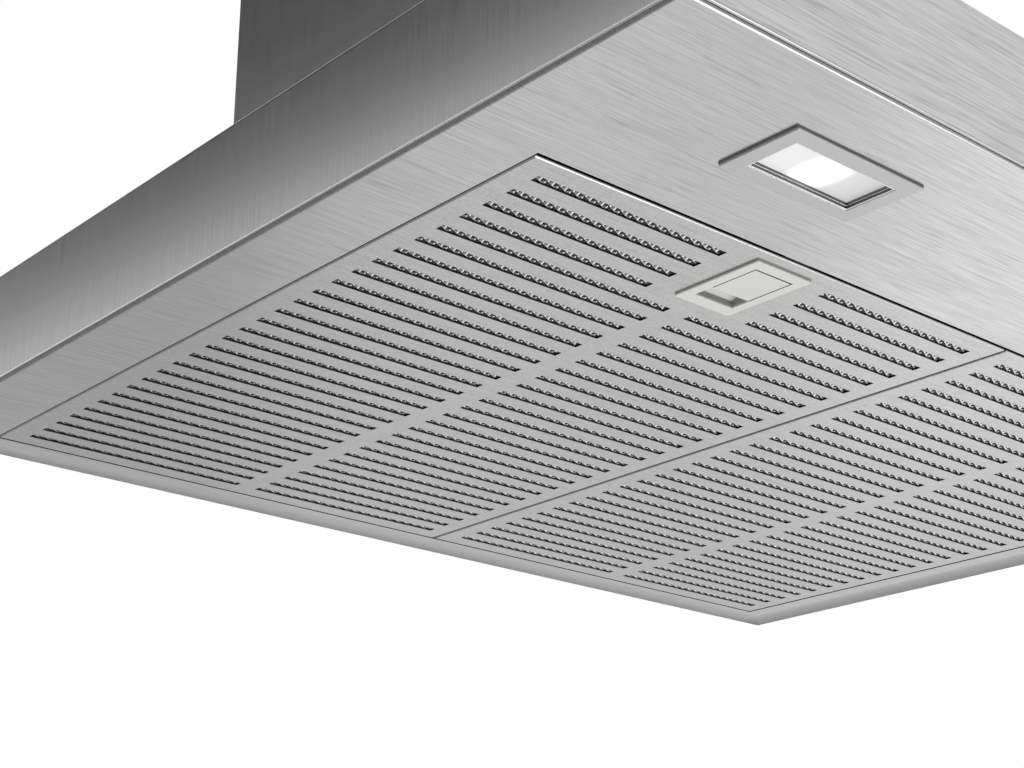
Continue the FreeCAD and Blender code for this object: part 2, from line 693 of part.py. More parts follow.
def make_filter_tray(label, corner):
    """Press the slotted tray with its rows of slots, latch window and rear tongues."""
    body = new_body(label, corner)
    half = f"{FILTER_WIDTH} / 2"
    add_bar(body, both_sides(half), ("0", FILTER_DEPTH), ("0", "tray_height"))
    round_edges(body, lambda box: level(box, "0"), "tray_bend")
    cut_bar(
        body,
        both_sides(f"{half} - tray_wall"),
        ("tray_wall", f"{FILTER_DEPTH} - tray_wall"),
        ("tray_wall", "tray_height"),
    )
    floor = ("0", "tray_wall")
    outer = "slot_column_gap / 2 + slot_length"
    rows = (
        ("0", "short_slot_length", "short_slot_rows"),
        ("short_slot_rows", "slot_length", "(slot_rows - short_slot_rows)"),
    )
    for first, length, count in rows:
        middle = f"slot_first_row + {first} * slot_pitch"
        sketch = new_sketch(body, "XY")
        for sign in ("-", ""):
            draw_rectangle(
                sketch,
                (f"{sign}({outer} - {length})", f"{sign}({outer})"),
                (f"{middle} - slot_width / 2", f"{middle} + slot_width / 2"),
            )
        slots = pocket(body, sketch, "tray_wall", reverse=True)
        repeat_along(body, slots, "Y", f"({count} - 1) * slot_pitch", count)
    cut_bar(
        body,
        both_sides("latch_opening_width / 2 + latch_wall + latch_fit"),
        (f"{LATCH_OPEN} - latch_wall - latch_fit", f"{LATCH_REAR} + latch_wall + latch_fit"),
        floor,
    )
    cut_bar(
        body,
        both_sides("tongue_width / 2 + slide_gap"),
        ("-tray_wall", "2 * tray_wall"),
        (f"{TONGUE_LOW} - slide_gap", f"{TONGUE_HIGH} + slide_gap"),
    )
    for sign in ("-", ""):
        middle = f"{sign}rear_tongue_spacing / 2"
        add_bar(
            body,
            (f"{middle} - rear_tongue_width / 2", f"{middle} + rear_tongue_width / 2"),
            (f"{FILTER_DEPTH} - tray_wall", f"{FILTER_DEPTH} + rear_tongue_reach"),
            (TONGUE_LOW, f"{TONGUE_LOW} + tray_wall"),
        )
    keep(body, label)


def make_filter_mesh(label, corner):
    """Corrugate the expanded mesh that lies in the tray, one fold repeated across it."""
    body = new_body(label, corner)
    inset = "(tray_wall + mesh_gap)"
    folds = f"floor(({FILTER_WIDTH} - 2 * {inset}) / mesh_pitch)"
    left = f"(-{folds} * mesh_pitch / 2)"
    crest = "(tray_wall + mesh_thickness)"
    fold = new_sketch(body, "XZ", f"-{inset}")
    draw_outline(
        fold,
        [
            (left, "tray_wall"),
            (f"{left} + mesh_pitch / 2", f"{crest} - mesh_wall"),
            (f"{left} + mesh_pitch", "tray_wall"),
            (f"{left} + mesh_pitch", "tray_wall + mesh_wall"),
            (f"{left} + mesh_pitch / 2", crest),
            (left, "tray_wall + mesh_wall"),
        ],
    )
    first = pad(body, fold, f"{FILTER_DEPTH} - 2 * {inset}", reverse=True)
    repeat_along(body, first, "X", f"({folds} - 1) * mesh_pitch", folds)
    cut_bar(
        body,
        both_sides(LATCH_ROOM_X),
        ("0", LATCH_ROOM_REAR),
        ("tray_wall", crest),
    )
    keep(body, label)


def make_filter_back(label, corner):
    """Make the frame that holds the mesh down, with four windows."""
    side = f"{FILTER_WIDTH} / 2 - tray_wall - mesh_gap"
    front = "tray_wall + mesh_gap"
    rear = f"{FILTER_DEPTH} - tray_wall - mesh_gap"
    low = "tray_wall + mesh_thickness"
    high = "tray_wall + mesh_thickness + back_wall"
    sheet_block = new_box(f"{label}_sheet", both_sides(side), (front, rear), (low, high))
    windows = []
    middle = f"({LATCH_ROOM_REAR} + {rear}) / 2"
    spans = (
        (f"{LATCH_ROOM_REAR} + back_border", f"{middle} - back_rib / 2"),
        (f"{middle} + back_rib / 2", f"{rear} - back_border"),
    )
    for number, span in enumerate(spans):
        windows.append(
            new_box(
                f"{label}_window_{number}a",
                ("back_rib / 2", f"{side} - back_border"),
                span,
                (low, high),
            )
        )
        windows.append(
            new_box(
                f"{label}_window_{number}b",
                (f"back_border - ({side})", "-back_rib / 2"),
                span,
                (low, high),
            )
        )
    room = new_box(
        f"{label}_room", both_sides(LATCH_ROOM_X), ("0", LATCH_ROOM_REAR), (low, high)
    )
    frame = cut(label, sheet_block, windows + [room])
    place(frame, corner)
    keep(frame, label)


def make_latch_bezel(label, corner):
    """Mould the latch's bezel and body, with its guides and finger pocket."""
    body = new_body(label, corner)
    lower = "-latch_proud"
    add_bar(
        body,
        both_sides("latch_width / 2"),
        ("latch_front", "latch_front + latch_length"),
        (lower, "0"),
    )
    round_edges(body, upright, "latch_corner")
    bevel_edges(body, lambda box: level(box, lower), "latch_edge")
    open_half = "latch_opening_width / 2"
    add_bar(
        body,
        both_sides(f"{open_half} + latch_wall"),
        (f"{LATCH_OPEN} - latch_wall", f"{LATCH_REAR} + latch_wall"),
        ("0", "latch_height"),
    )
    cut_bar(
        body,
        both_sides(open_half),
        (LATCH_OPEN, LATCH_REAR),
        (lower, "latch_height - latch_roof"),
    )
    scoop = new_sketch(body, "YZ")
    draw_outline(
        scoop,
        [
            (f"{LATCH_REAR} - scoop_length", "scoop_deep"),
            (LATCH_REAR, "scoop_shallow"),
            (LATCH_REAR, "scoop_top"),
            (f"{LATCH_REAR} - scoop_length", "scoop_top"),
        ],
    )
    pad(body, scoop, "latch_opening_width", both=True)
    cut_bar(
        body,
        both_sides("tongue_width / 2 + slide_gap"),
        (f"{LATCH_OPEN} - 2 * latch_wall", f"{LATCH_OPEN} + slide_gap"),
        (f"{TONGUE_LOW} - slide_gap", f"{TONGUE_HIGH} + slide_gap"),
    )
    cut_bar(
        body,
        both_sides(f"{open_half} + groove_depth"),
        (LATCH_OPEN, f"{LATCH_REAR} - scoop_length"),
        ("wing_low - slide_gap", "wing_low + wing_thickness + slide_gap"),
    )
    keep(body, label)


def make_latch_slider(label, corner):
    """Mould the latch's slider: finger plate, guide wings, tongue and spring lug."""
    body = new_body(label, corner)
    plate_half = "latch_opening_width / 2 - slider_side_gap"
    tongue = both_sides("tongue_width / 2")
    tip = "-filter_front_gap - tongue_reach"
    add_bar(
        body,
        both_sides(plate_half),
        (SLIDER_FRONT, f"{SLIDER_FRONT} + slider_length"),
        ("-slider_drop", "slider_plate_top"),
    )
    add_bar(body, tongue, (SLIDER_FRONT, SLIDER_BLOCK_REAR), ("slider_plate_top", TONGUE_HIGH))
    add_bar(body, tongue, (tip, SLIDER_FRONT), (TONGUE_LOW, TONGUE_HIGH))
    add_bar(
        body,
        both_sides("latch_opening_width / 2 + groove_depth - slide_gap"),
        (SLIDER_FRONT, SLIDER_BLOCK_REAR),
        ("wing_low", "wing_low + wing_thickness"),
    )
    add_bar(
        body,
        both_sides("spring_lug_width / 2"),
        (SLIDER_FRONT, f"{SLIDER_FRONT} + spring_lug"),
        (TONGUE_HIGH, "latch_height - latch_roof - slide_gap"),
    )
    bevel_edges(
        body,
        lambda box: near(box.YMax, tip) and level(box, TONGUE_LOW),
        "tongue_ramp",
    )
    keep(body, label)


def make_latch_spring(label, corner):
    """Make the latch's return spring behind the slider's lug."""
    start = f"{SLIDER_FRONT} + spring_lug"
    middle = "(scoop_top + latch_height - latch_roof) / 2"
    spring = new_rod(
        label,
        "y",
        (corner[0], f"{corner[1]} + {start}", f"{corner[2]} + {middle}"),
        "spring_radius",
        f"{LATCH_REAR} - ({start})",
    )
    keep(spring, label)


def make_lamp(side, sign):
    """Build one lamp: bezel, lens, housing and light board."""
    middle = (f"{sign}lamp_spacing / 2", "lamp_front - canopy_depth", UNDERSIDE)
    open_x = "lamp_opening_width / 2"
    open_y = "lamp_opening_depth / 2"
    bezel = new_body(f"lamp_bezel_{side}", middle)
    lower = "-lamp_proud"
    add_bar(bezel, both_sides("lamp_width / 2"), both_sides("lamp_depth / 2"), (lower, "0"))
    round_edges(bezel, upright, "lamp_corner")
    bevel_edges(bezel, lambda box: level(box, lower), "lamp_edge")
    add_bar(bezel, both_sides(LAMP_COLLAR_X), both_sides(LAMP_COLLAR_Y), ("0", "lamp_collar_height"))
    cut_bar(bezel, both_sides(open_x), both_sides(open_y), (lower, "lamp_collar_height"))
    cut_bar(
        bezel,
        both_sides(f"{open_x} + lens_ledge"),
        both_sides(f"{open_y} + lens_ledge"),
        (LENS_LOW, "lamp_collar_height"),
    )
    keep(bezel, f"lamp_bezel_{side}")

    lens = new_body(f"lamp_lens_{side}", middle)
    add_bar(
        lens,
        both_sides(f"{open_x} + lens_ledge - lens_gap"),
        both_sides(f"{open_y} + lens_ledge - lens_gap"),
        (LENS_LOW, f"{LENS_LOW} + lens_thickness"),
    )
    keep(lens, f"lamp_lens_{side}")

    housing = new_body(f"lamp_housing_{side}", middle)
    room_x = f"{LAMP_COLLAR_X} + lamp_fit"
    room_y = f"{LAMP_COLLAR_Y} + lamp_fit"
    add_bar(
        housing,
        both_sides(f"{room_x} + housing_wall"),
        both_sides(f"{room_y} + housing_wall"),
        ("pan_wall", "housing_height"),
    )
    bevel_edges(housing, lambda box: level(box, "housing_height") or upright(box), "housing_edge")
    ceiling = "housing_height - housing_wall"
    cut_bar(housing, both_sides(room_x), both_sides(room_y), ("pan_wall", ceiling))
    keep(housing, f"lamp_housing_{side}")

    board = new_body(f"led_board_{side}", middle)
    add_bar(
        board,
        both_sides("board_width / 2"),
        both_sides("board_depth / 2"),
        (f"{ceiling} - board_thickness", ceiling),
    )
    emitter = new_sketch(board, "XY", f"{ceiling} - board_thickness")
    draw_circle(emitter, ("0", "0"), "led_radius")
    pad(board, emitter, "led_height", reverse=True)
    keep(board, f"led_board_{side}")


def make_buttons():
    """Build the row of push buttons and the switch block behind them."""
    names = ("light", "off", "low", "medium", "high")
    flange_front = "fascia_wall + button_seat"
    flange_rear = "fascia_wall + button_seat + button_flange_wall"
    for number, name in enumerate(names):
        middle = f"{number - 2} * button_pitch"
        body = new_body(f"button_{name}", (middle, "-canopy_depth", "button_level"))
        half_x = "button_width / 2"
        half_z = "button_height / 2"
        add_bar(body, both_sides(half_x), ("-button_proud", flange_front), both_sides(half_z))
        round_edges(
            body,
            lambda box: near(box.YMax, "-button_proud"),
            "button_edge",
        )
        add_bar(
            body,
            both_sides(f"{half_x} + button_flange"),
            (flange_front, flange_rear),
            both_sides(f"{half_z} + button_flange"),
        )
        stem = new_sketch(body, "XZ", f"-({flange_rear})")
        draw_circle(stem, ("0", "0"), "stem_radius")
        pad(body, stem, "stem_length", reverse=True)
        keep(body, f"button_{name}")

    body = new_body("switch_block", ("0", "-canopy_depth", "button_level"))
    front = f"{flange_rear} + button_travel + stem_gap"
    rear = f"{front} + switch_depth"
    half = "2 * button_pitch + button_width / 2 + button_flange + switch_margin"
    add_bar(body, both_sides(half), (front, rear), both_sides("switch_height / 2"))
    for side in ("-", ""):
        add_bar(
            body,
            (f"{side}({half} - switch_ear)", f"{side}({half})"),
            ("fascia_wall", front),
            both_sides("switch_height / 2"),
        )
    holes = new_sketch(body, "XZ", f"-({front})")
    for number in range(-2, 3):
        draw_circle(holes, (f"{number} * button_pitch", "0"), "stem_radius + stem_gap")
    pocket(body, holes, "stem_length")
    keep(body, "switch_block")


def make_control_box():
    """Make the control box under the canopy's top."""
    body = new_body("control_box", ("control_offset", "control_front - canopy_depth", "0"))
    add_bar(
        body,
        both_sides("control_width / 2"),
        ("0", "control_depth"),
        ("canopy_height - shell_wall - control_height", "canopy_height - shell_wall"),
    )
    round_edges(body, upright, "control_edge")
    keep(body, "control_box")


def make_air_box():
    """Fold the air box that carries the blower, with its hanging plate and feet."""
    body = new_body("air_box")
    half = "air_box_width / 2"
    plate_top = f"{AIR_BOX_TOP} + hang_height"
    add_bar(body, both_sides(half), ("-air_box_depth", "0"), ("canopy_height", AIR_BOX_TOP))
    add_bar(body, both_sides(half), ("-air_box_wall", "0"), (AIR_BOX_TOP, plate_top))
    round_edges(
        body,
        lambda box: near(box.ZMin, plate_top) and box.XLength < 1e-4,
        "hang_corner",
    )
    middle = "-air_box_depth / 2"
    for side in ("-", ""):
        add_bar(
            body,
            (f"{side}({half})", f"{side}({half} + foot_width)"),
            (f"{middle} - foot_length / 2", f"{middle} + foot_length / 2"),
            ("canopy_height", "canopy_height + foot_wall"),
        )
    cut_bar(
        body,
        both_sides(f"{half} - air_box_wall"),
        ("air_box_wall - air_box_depth", "-air_box_wall"),
        ("canopy_height", AIR_BOX_ROOF),
    )
    outlet = new_sketch(body, "XY", AIR_BOX_ROOF)
    draw_circle(outlet, ("0", COLLAR_Y), COLLAR_BORE)
    draw_circle(outlet, ("gland_side", "gland_front - air_box_depth"), "gland_neck + gland_fit")
    pocket(body, outlet, "air_box_wall", reverse=True)
    holes = new_sketch(body, "XZ")
    for side in ("-", ""):
        draw_circle(
            holes,
            (f"{side}hang_hole_spacing / 2", f"{AIR_BOX_TOP} + hang_hole_lift"),
            "hang_hole_radius",
        )
    pocket(body, holes, "2 * air_box_wall", both=True)
    keep(body, "air_box")
    screws = []
    for side in ("-", ""):
        for number in (-0.5, 0.5):
            screws.append(
                new_rod(
                    "air_box_screw",
                    "z",
                    (
                        f"{side}({half} + foot_width / 2)",
                        f"{middle} + {number} * screw_spacing",
                        "canopy_height + foot_wall",
                    ),
                    "screw_radius",
                    "screw_head",
                )
            )
    keep(group("air_box_screws", screws), "air_box_screws")


def scroll_wire(offset, top):
    """Draw the scroll's spiral, moved outwards by a wall, up to the outlet's top."""
    first = value("scroll_radius")
    growth = value("scroll_growth")
    cut_off = value("throat_front") - offset
    radii = [first + number * growth + offset for number in range(3)]
    centres = [Vector(0, 0, 0), Vector(0, growth, 0), Vector(0, growth, growth)]
    start = math.asin(cut_off / radii[0])
    edges = [Part.LineSegment(Vector(0, cut_off, top), on_arc(centres[0], radii[0], start))]
    turns = [(start, -math.pi / 2), (-math.pi / 2, -math.pi), (-math.pi, -1.5 * math.pi)]
    for centre, radius, (begin, end) in zip(centres, radii, turns):
        edges.append(
            Part.Arc(
                on_arc(centre, radius, begin),
                on_arc(centre, radius, (begin + end) / 2),
                on_arc(centre, radius, end),
            )
        )
    last = on_arc(centres[2], radii[2], -1.5 * math.pi)
    edges.append(Part.LineSegment(last, Vector(0, last.y, top)))
    edges.append(Part.LineSegment(Vector(0, last.y, top), Vector(0, cut_off, top)))
    return Part.Wire([edge.toShape() for edge in edges])


def on_arc(centre, radius, angle):
    """Give the point of a circle at an angle from the upright, towards the wall."""
    return centre + Vector(0, radius * math.sin(angle), radius * math.cos(angle))


def make_scroll(side, sign):
    """Make one half of the spiral casing, with its round inlet."""
    wall = value("scroll_wall")
    inside = value("scroll_width") / 2
    top = value(f"{AIR_BOX_ROOF} - {FAN_Z}")
    outer = Part.Face(scroll_wire(wall, top)).extrude(Vector(sign * (inside + wall), 0, 0))
    inner = Part.Face(scroll_wire(0, top)).extrude(Vector(sign * inside, 0, 0))
    inlet = Part.makeCylinder(
        value("inlet_radius"), inside + 2 * wall, Vector(), Vector(sign, 0, 0)
    )
    half = doc.addObject("Part::Feature", f"scroll_{side}")
    half.Shape = outer.cut([inner, inlet])
    half.Placement = Placement(Vector(0, value(FAN_Y), value(FAN_Z)), Rotation())
    keep(half, f"scroll_{side}")


def make_impeller():
    """Make the double-inlet impeller: hub, middle disc, end rings and curved blades."""
    body = new_body("impeller", ("0", FAN_Y, FAN_Z))
    bore = "shaft_radius + shaft_fit"
    half_disc = "wheel_disc / 2"
    revolve(
        body,
        "XY",
        "X",
        [
            ("-hub_left", bore),
            ("hub_right", bore),
            ("hub_right", "hub_radius"),
            (half_disc, "hub_radius"),
            (half_disc, "wheel_radius"),
            (f"-{half_disc}", "wheel_radius"),
            (f"-{half_disc}", "hub_radius"),
            ("-hub_left", "hub_radius"),
        ],
    )
    blade = new_sketch(body, "YZ")
    steps = (0, 0.5, 1)
    faces = []
    for shift in ("+", "-"):
        face = []
        for step in steps:
            reach = f"(wheel_inner + {step} * (wheel_radius - wheel_ring / 2 - wheel_inner))"
            lean = f"({step ** 1.6:.6f} * blade_lean * 1deg)"
            face.append(
                (f"{reach} * cos({lean})", f"{reach} * sin({lean}) {shift} blade_wall / 2")
            )
        faces.append(face)
    draw_outline(blade, faces[0] + faces[1][::-1])
    blades = pad(body, blade, "wheel_width - wheel_ring", both=True)
    repeat_round(body, blades, "X", "blade_count")
    for side in ("-", ""):
        revolve(
            body,
            "XY",
            "X",
            [
                (f"{side}(wheel_width / 2 - wheel_ring)", "wheel_radius - wheel_ring"),
                (f"{side}wheel_width / 2", "wheel_radius - wheel_ring"),
                (f"{side}wheel_width / 2", "wheel_radius"),
                (f"{side}(wheel_width / 2 - wheel_ring)", "wheel_radius"),
            ],
        )
    keep(body, "impeller")


def make_motor():
    """Make the motor, its shaft, and the bracket that holds it in the right inlet."""
    keep(
        new_rod(
            "motor_shaft",
            "x",
            ("-hub_left", FAN_Y, FAN_Z),
            "shaft_radius",
            f"hub_left + {MOTOR_LEFT} + shaft_depth",
        ),
        "motor_shaft",
    )
    body = new_body("motor", ("0", FAN_Y, FAN_Z))
    bore = "shaft_radius + bearing_gap"
    right = SCROLL_SIDE
    blind = f"{MOTOR_LEFT} + shaft_depth + motor_gap"
    revolve(
        body,
        "XY",
        "X",
        [
            (MOTOR_LEFT, bore),
            (blind, bore),
            (blind, "0"),
            (right, "0"),
            (right, "bell_radius"),
            (f"{right} - 2 * bell_height", "bell_radius"),
            (f"{right} - 2 * bell_height", "motor_radius"),
            (f"{MOTOR_LEFT} + 2 * bell_height", "motor_radius"),
            (f"{MOTOR_LEFT} + 2 * bell_height", "bell_radius"),
            (f"{MOTOR_LEFT} + bell_height", "bell_radius"),
            (f"{MOTOR_LEFT} + bell_height", "hub_radius"),
            (MOTOR_LEFT, "hub_radius"),
        ],
    )
    keep(body, "motor")

    bracket = new_body("motor_bracket", (right, FAN_Y, FAN_Z))
    plate = new_sketch(bracket, "YZ")
    draw_circle(plate, ("0", "0"), "spider_radius")
    pad(bracket, plate, "spider_wall")
    arm = new_sketch(bracket, "YZ")
    draw_rectangle(arm, both_sides("spider_arm / 2"), ("0", "inlet_radius + spider_reach"))
    arms = pad(bracket, arm, "spider_wall")
    repeat_round(bracket, arms, "X", "3")
    keep(bracket, "motor_bracket")
    screws = []
    for turn in (0, 120, 240):
        reach = "(inlet_radius + spider_reach / 2)"
        screws.append(
            new_rod(
                "bracket_screw",
                "x",
                (
                    f"{right} + spider_wall",
                    f"{FAN_Y} - {reach} * sin({turn} * 1deg)",
                    f"{FAN_Z} + {reach} * cos({turn} * 1deg)",
                ),
                "screw_radius",
                "screw_head",
            )
        )
    keep(group("bracket_screws", screws), "bracket_screws")


def make_capacitor():
    """Make the motor's run capacitor under the air box's roof."""
    middle = "capacitor_front - air_box_depth"
    centre = f"{AIR_BOX_ROOF} - capacitor_foot - capacitor_radius"
    can = new_rod(
        "capacitor_can",
        "x",
        ("-capacitor_length / 2", middle, centre),
        "capacitor_radius",
        "capacitor_length",
    )
    foot = new_box(
        "capacitor_base",
        both_sides("capacitor_length / 3"),
        (f"{middle} - capacitor_radius / 2", f"{middle} + capacitor_radius / 2"),
        (centre, AIR_BOX_ROOF),
    )
    keep(fuse("capacitor", [can, foot]), "capacitor")


def make_collar():
    """Turn the duct collar, with its flange, the flaps' ledge and the rods' holes."""
    body = new_body("outlet_collar", ("0", COLLAR_Y, AIR_BOX_TOP))
    ledge_top = "flap_level - flap_wall / 2 - flap_rest_gap"
    ledge_low = f"{ledge_top} - collar_ledge_wall"
    revolve(
        body,
        "XZ",
        "Z",
        [
            (COLLAR_BORE, "0"),
            ("collar_radius + collar_flange", "0"),
            ("collar_radius + collar_flange", "collar_flange_wall"),
            ("collar_radius", "collar_flange_wall"),
            ("collar_radius", "collar_height"),
            (COLLAR_BORE, "collar_height"),
            (COLLAR_BORE, ledge_top),
            (f"{COLLAR_BORE} - collar_ledge", ledge_top),
            (f"{COLLAR_BORE} - collar_ledge", ledge_low),
            (COLLAR_BORE, ledge_low),
        ],
    )
    holes = new_sketch(body, "YZ")
    for side in ("-", ""):
        draw_circle(holes, (f"{side}rod_offset", "flap_level"), "rod_radius + rod_fit")
    pocket(body, holes, "2 * collar_radius", both=True)
    keep(body, "outlet_collar")
    rods = []
    for side in ("-", "+"):
        rods.append(
            new_rod(
                "flap_rod",
                "x",
                ("collar_wall / 2 - collar_radius", f"{COLLAR_Y} {side} rod_offset", FLAP_Z),
                "rod_radius",
                "2 * collar_radius - collar_wall",
            )
        )
    keep(group("flap_rods", rods), "flap_rods")
    make_flap("flap_front", "-")
    make_flap("flap_rear", "+")


def make_flap(label, side):
    """Make one half-round backdraft flap on its rod."""
    radius = f"{COLLAR_BORE} - flap_rim_gap"
    axis_y = f"{COLLAR_Y} {side} rod_offset"
    chord = f"{COLLAR_Y} {side} (rod_offset + (rod_radius + knuckle_radius) / 2)"
    far = f"{COLLAR_Y} {side} collar_radius"
    low = f"{FLAP_Z} - flap_wall / 2"
    disc = new_rod(f"{label}_disc", "z", ("0", COLLAR_Y, low), radius, "flap_wall")
    span = (far, chord) if side == "-" else (chord, far)
    half = new_box(
        f"{label}_half", both_sides("collar_radius"), span, (low, f"{low} + flap_wall")
    )
    leaf = doc.addObject("Part::Common", f"{label}_leaf")
    leaf.Base = disc
    leaf.Tool = half
    start = ("-knuckle_length / 2", axis_y, FLAP_Z)
    tube = new_rod(f"{label}_tube", "x", start, "knuckle_radius", "knuckle_length")
    bore = new_rod(f"{label}_bore", "x", start, "rod_radius + rod_gap", "knuckle_length")
    keep(cut(label, fuse(f"{label}_solid", [leaf, tube]), [bore]), label)


def make_gland():
    """Turn the cable gland in the air box's roof."""
    body = new_body("cable_gland", ("gland_side", "gland_front - air_box_depth", AIR_BOX_TOP))
    revolve(
        body,
        "XZ",
        "Z",
        [
            ("gland_bore", "-gland_bottom"),
            ("gland_neck", "-gland_bottom"),
            ("gland_neck", "0"),
            ("gland_head", "0"),
            ("gland_head", "gland_top * 0.6"),
            ("gland_neck", "gland_top * 0.6"),
            ("gland_neck", "gland_top"),
            ("gland_bore", "gland_top"),
        ],
    )
    keep(body, "cable_gland")


def make_chimney(label, inset, low, height, vented=False):
    """Fold one chimney cover: front, two sides, narrow returns along the wall, any vents."""
    body = new_body(label, ("0", "0", low))
    out_x = f"(chimney_width / 2 - {inset})"
    front = f"({inset} - chimney_depth)"
    rear = f"(-{inset})"
    inner_x = f"({out_x} - chimney_wall)"
    lip_x = f"({out_x} - chimney_return)"
    lip_y = f"({rear} - chimney_wall)"
    inner_front = f"({front} + chimney_wall)"
    right = [
        (out_x, front),
        (out_x, rear),
        (lip_x, rear),
        (lip_x, lip_y),
        (inner_x, lip_y),
        (inner_x, inner_front),
    ]
    left = [(f"-{x}", y) for x, y in reversed(right)]
    sketch = new_sketch(body, "XY")
    draw_outline(sketch, right + left)
    pad(body, sketch, height)
    round_edges(body, lambda box: upright(box) and near(box.YMin, front), "chimney_bend")
    if vented:
        middle = "-chimney_depth / 2 - (vent_count - 1) / 2 * vent_pitch"
        vent = new_sketch(body, "YZ")
        draw_rectangle(
            vent,
            (f"{middle} - vent_width / 2", f"{middle} + vent_width / 2"),
            (f"{height} - vent_drop - vent_length", f"{height} - vent_drop"),
        )
        vents = pocket(body, vent, "chimney_width", both=True)
        repeat_along(body, vents, "Y", "(vent_count - 1) * vent_pitch", "vent_count")
    keep(body, label)


def make_ceiling_bracket():
    """Fold the bracket that holds the upper chimney to the wall near the ceiling."""
    top = f"{UPPER_TOP} - bracket_drop"
    body = new_body("ceiling_bracket", ("0", "0", f"{top} - bracket_height"))
    half = "(bracket_width / 2)"
    side = f"(chimney_width / 2 - {UPPER_INSET} - chimney_wall)"
    jog = f"(-({UPPER_INSET} + chimney_wall + bracket_jog))"
    right = [
        (half, "0"),
        (half, jog),
        (side, jog),
        (side, f"{jog} - bracket_tab"),
        (f"({side} - bracket_wall)", f"{jog} - bracket_tab"),
        (f"({side} - bracket_wall)", f"{jog} - bracket_wall"),
        (f"({half} - bracket_wall)", f"{jog} - bracket_wall"),
        (f"({half} - bracket_wall)", "-bracket_wall"),
    ]
    left = [(f"-{x}", y) for x, y in reversed(right)]
    sketch = new_sketch(body, "XY")
    draw_outline(sketch, right + left)
    pad(body, sketch, "bracket_height")
    holes = new_sketch(body, "XZ")
    for sign in ("-", ""):
        draw_circle(
            holes,
            (f"{sign}bracket_hole_spacing / 2", "bracket_height / 2"),
            "bracket_hole_radius",
        )
    pocket(body, holes, "2 * bracket_wall", both=True)
    keep(body, "ceiling_bracket")
    out_x = f"(chimney_width / 2 - {UPPER_INSET})"
    level_z = f"{top} - bracket_height / 2"
    middle = f"{jog} - bracket_tab / 2"
    screws = [
        new_rod("chimney_screw", "x", (out_x, middle, level_z), "screw_radius", "screw_head"),
        new_rod(
            "chimney_screw",
            "x",
            (f"-{out_x} - screw_head", middle, level_z),
            "screw_radius",
            "screw_head",
        ),
    ]
    keep(group("chimney_screws", screws), "chimney_screws")


def check_and_write():
    """Check every object and shape, then write one file for each piece."""
    doc.recompute()
    for thing in doc.Objects:
        if "Invalid" in thing.State or "Error" in thing.State:
            raise RuntimeError(f"{thing.Name} failed: {thing.State}")
    for node in nodes:
        if node.Shape.isNull() or not node.Shape.isValid():
            raise RuntimeError(f"{node.Label} has no valid shape")
    os.makedirs("parts", exist_ok=True)
    for node in nodes:
        node.Shape.exportStep(f"parts/{node.Label}.step")
        print(f"{node.Label}: {len(node.Shape.Solids)} solid, {node.Shape.Volume:.0f} mm3")


make_canopy_shell()
make_front_fascia()
make_bottom_pan()
make_filter("left", "-")
make_filter("right", "")
make_lamp("left", "-")
make_lamp("right", "")
make_buttons()
make_control_box()
make_air_box()
make_scroll("left", -1)
make_scroll("right", 1)
make_impeller()
make_motor()
make_capacitor()
make_collar()
make_gland()
make_chimney("chimney_lower", "0", "canopy_height", "chimney_lower_height")
make_chimney(
    "chimney_upper",
    UPPER_INSET,
    f"{UPPER_TOP} - chimney_upper_height",
    "chimney_upper_height",
    vented=True,
)
make_ceiling_bracket()
check_and_write()
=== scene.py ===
"""Looks of a wall-mounted chimney range hood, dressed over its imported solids.

Everything is in metres, in the frame of the solids: X to the right, Y to the wall, Z up.
"""

import logging
import math
from dataclasses import dataclass
from enum import Enum

import bmesh
import bpy
from mathutils import Matrix, Quaternion, Vector

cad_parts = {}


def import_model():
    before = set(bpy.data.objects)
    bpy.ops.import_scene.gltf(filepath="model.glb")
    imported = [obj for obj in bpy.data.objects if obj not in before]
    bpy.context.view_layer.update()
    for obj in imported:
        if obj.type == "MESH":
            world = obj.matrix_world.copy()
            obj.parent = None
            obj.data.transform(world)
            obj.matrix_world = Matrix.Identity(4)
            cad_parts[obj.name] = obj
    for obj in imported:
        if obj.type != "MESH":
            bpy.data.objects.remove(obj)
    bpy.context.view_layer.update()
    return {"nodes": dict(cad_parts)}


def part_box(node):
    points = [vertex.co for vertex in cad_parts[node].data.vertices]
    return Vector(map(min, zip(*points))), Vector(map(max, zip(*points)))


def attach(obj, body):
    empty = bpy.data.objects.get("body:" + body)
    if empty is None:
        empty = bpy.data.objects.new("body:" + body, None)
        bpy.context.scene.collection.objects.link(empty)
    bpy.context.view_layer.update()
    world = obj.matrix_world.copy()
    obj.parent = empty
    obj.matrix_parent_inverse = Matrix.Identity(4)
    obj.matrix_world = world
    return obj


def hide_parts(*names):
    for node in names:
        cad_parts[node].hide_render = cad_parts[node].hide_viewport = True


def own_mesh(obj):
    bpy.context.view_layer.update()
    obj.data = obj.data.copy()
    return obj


LOG = logging.getLogger("range_hood")
Colour = tuple[float, float, float]
Point = tuple[float, float, float]
Span = tuple[float, float]
Socket = bpy.types.NodeSocket
Material = bpy.types.Material
Thing = bpy.types.Object
Mesh = bmesh.types.BMesh
Vert = bmesh.types.BMVert
Edge = bmesh.types.BMEdge
Face = bmesh.types.BMFace

# Repeats per metre of each layer of scratches, across the brush and along it.
BRUSH_LAYERS = ((1300.0, 30.0), (2600.0, 60.0), (160.0, 5.0), (900.0, 36.0))
# The span that most of a noise's values lie in.
NOISE_SPAN = (0.3, 0.7)


class Side(Enum):
    """The two sides of the hood, with the sign of their X."""

    LEFT = -1
    RIGHT = 1

    def label(self) -> str:
        """Give the side's name as the solids spell it."""
        return self.name.lower()


class Axis(Enum):
    """The three axes, with their place in a vector."""

    X = 0
    Y = 1
    Z = 2


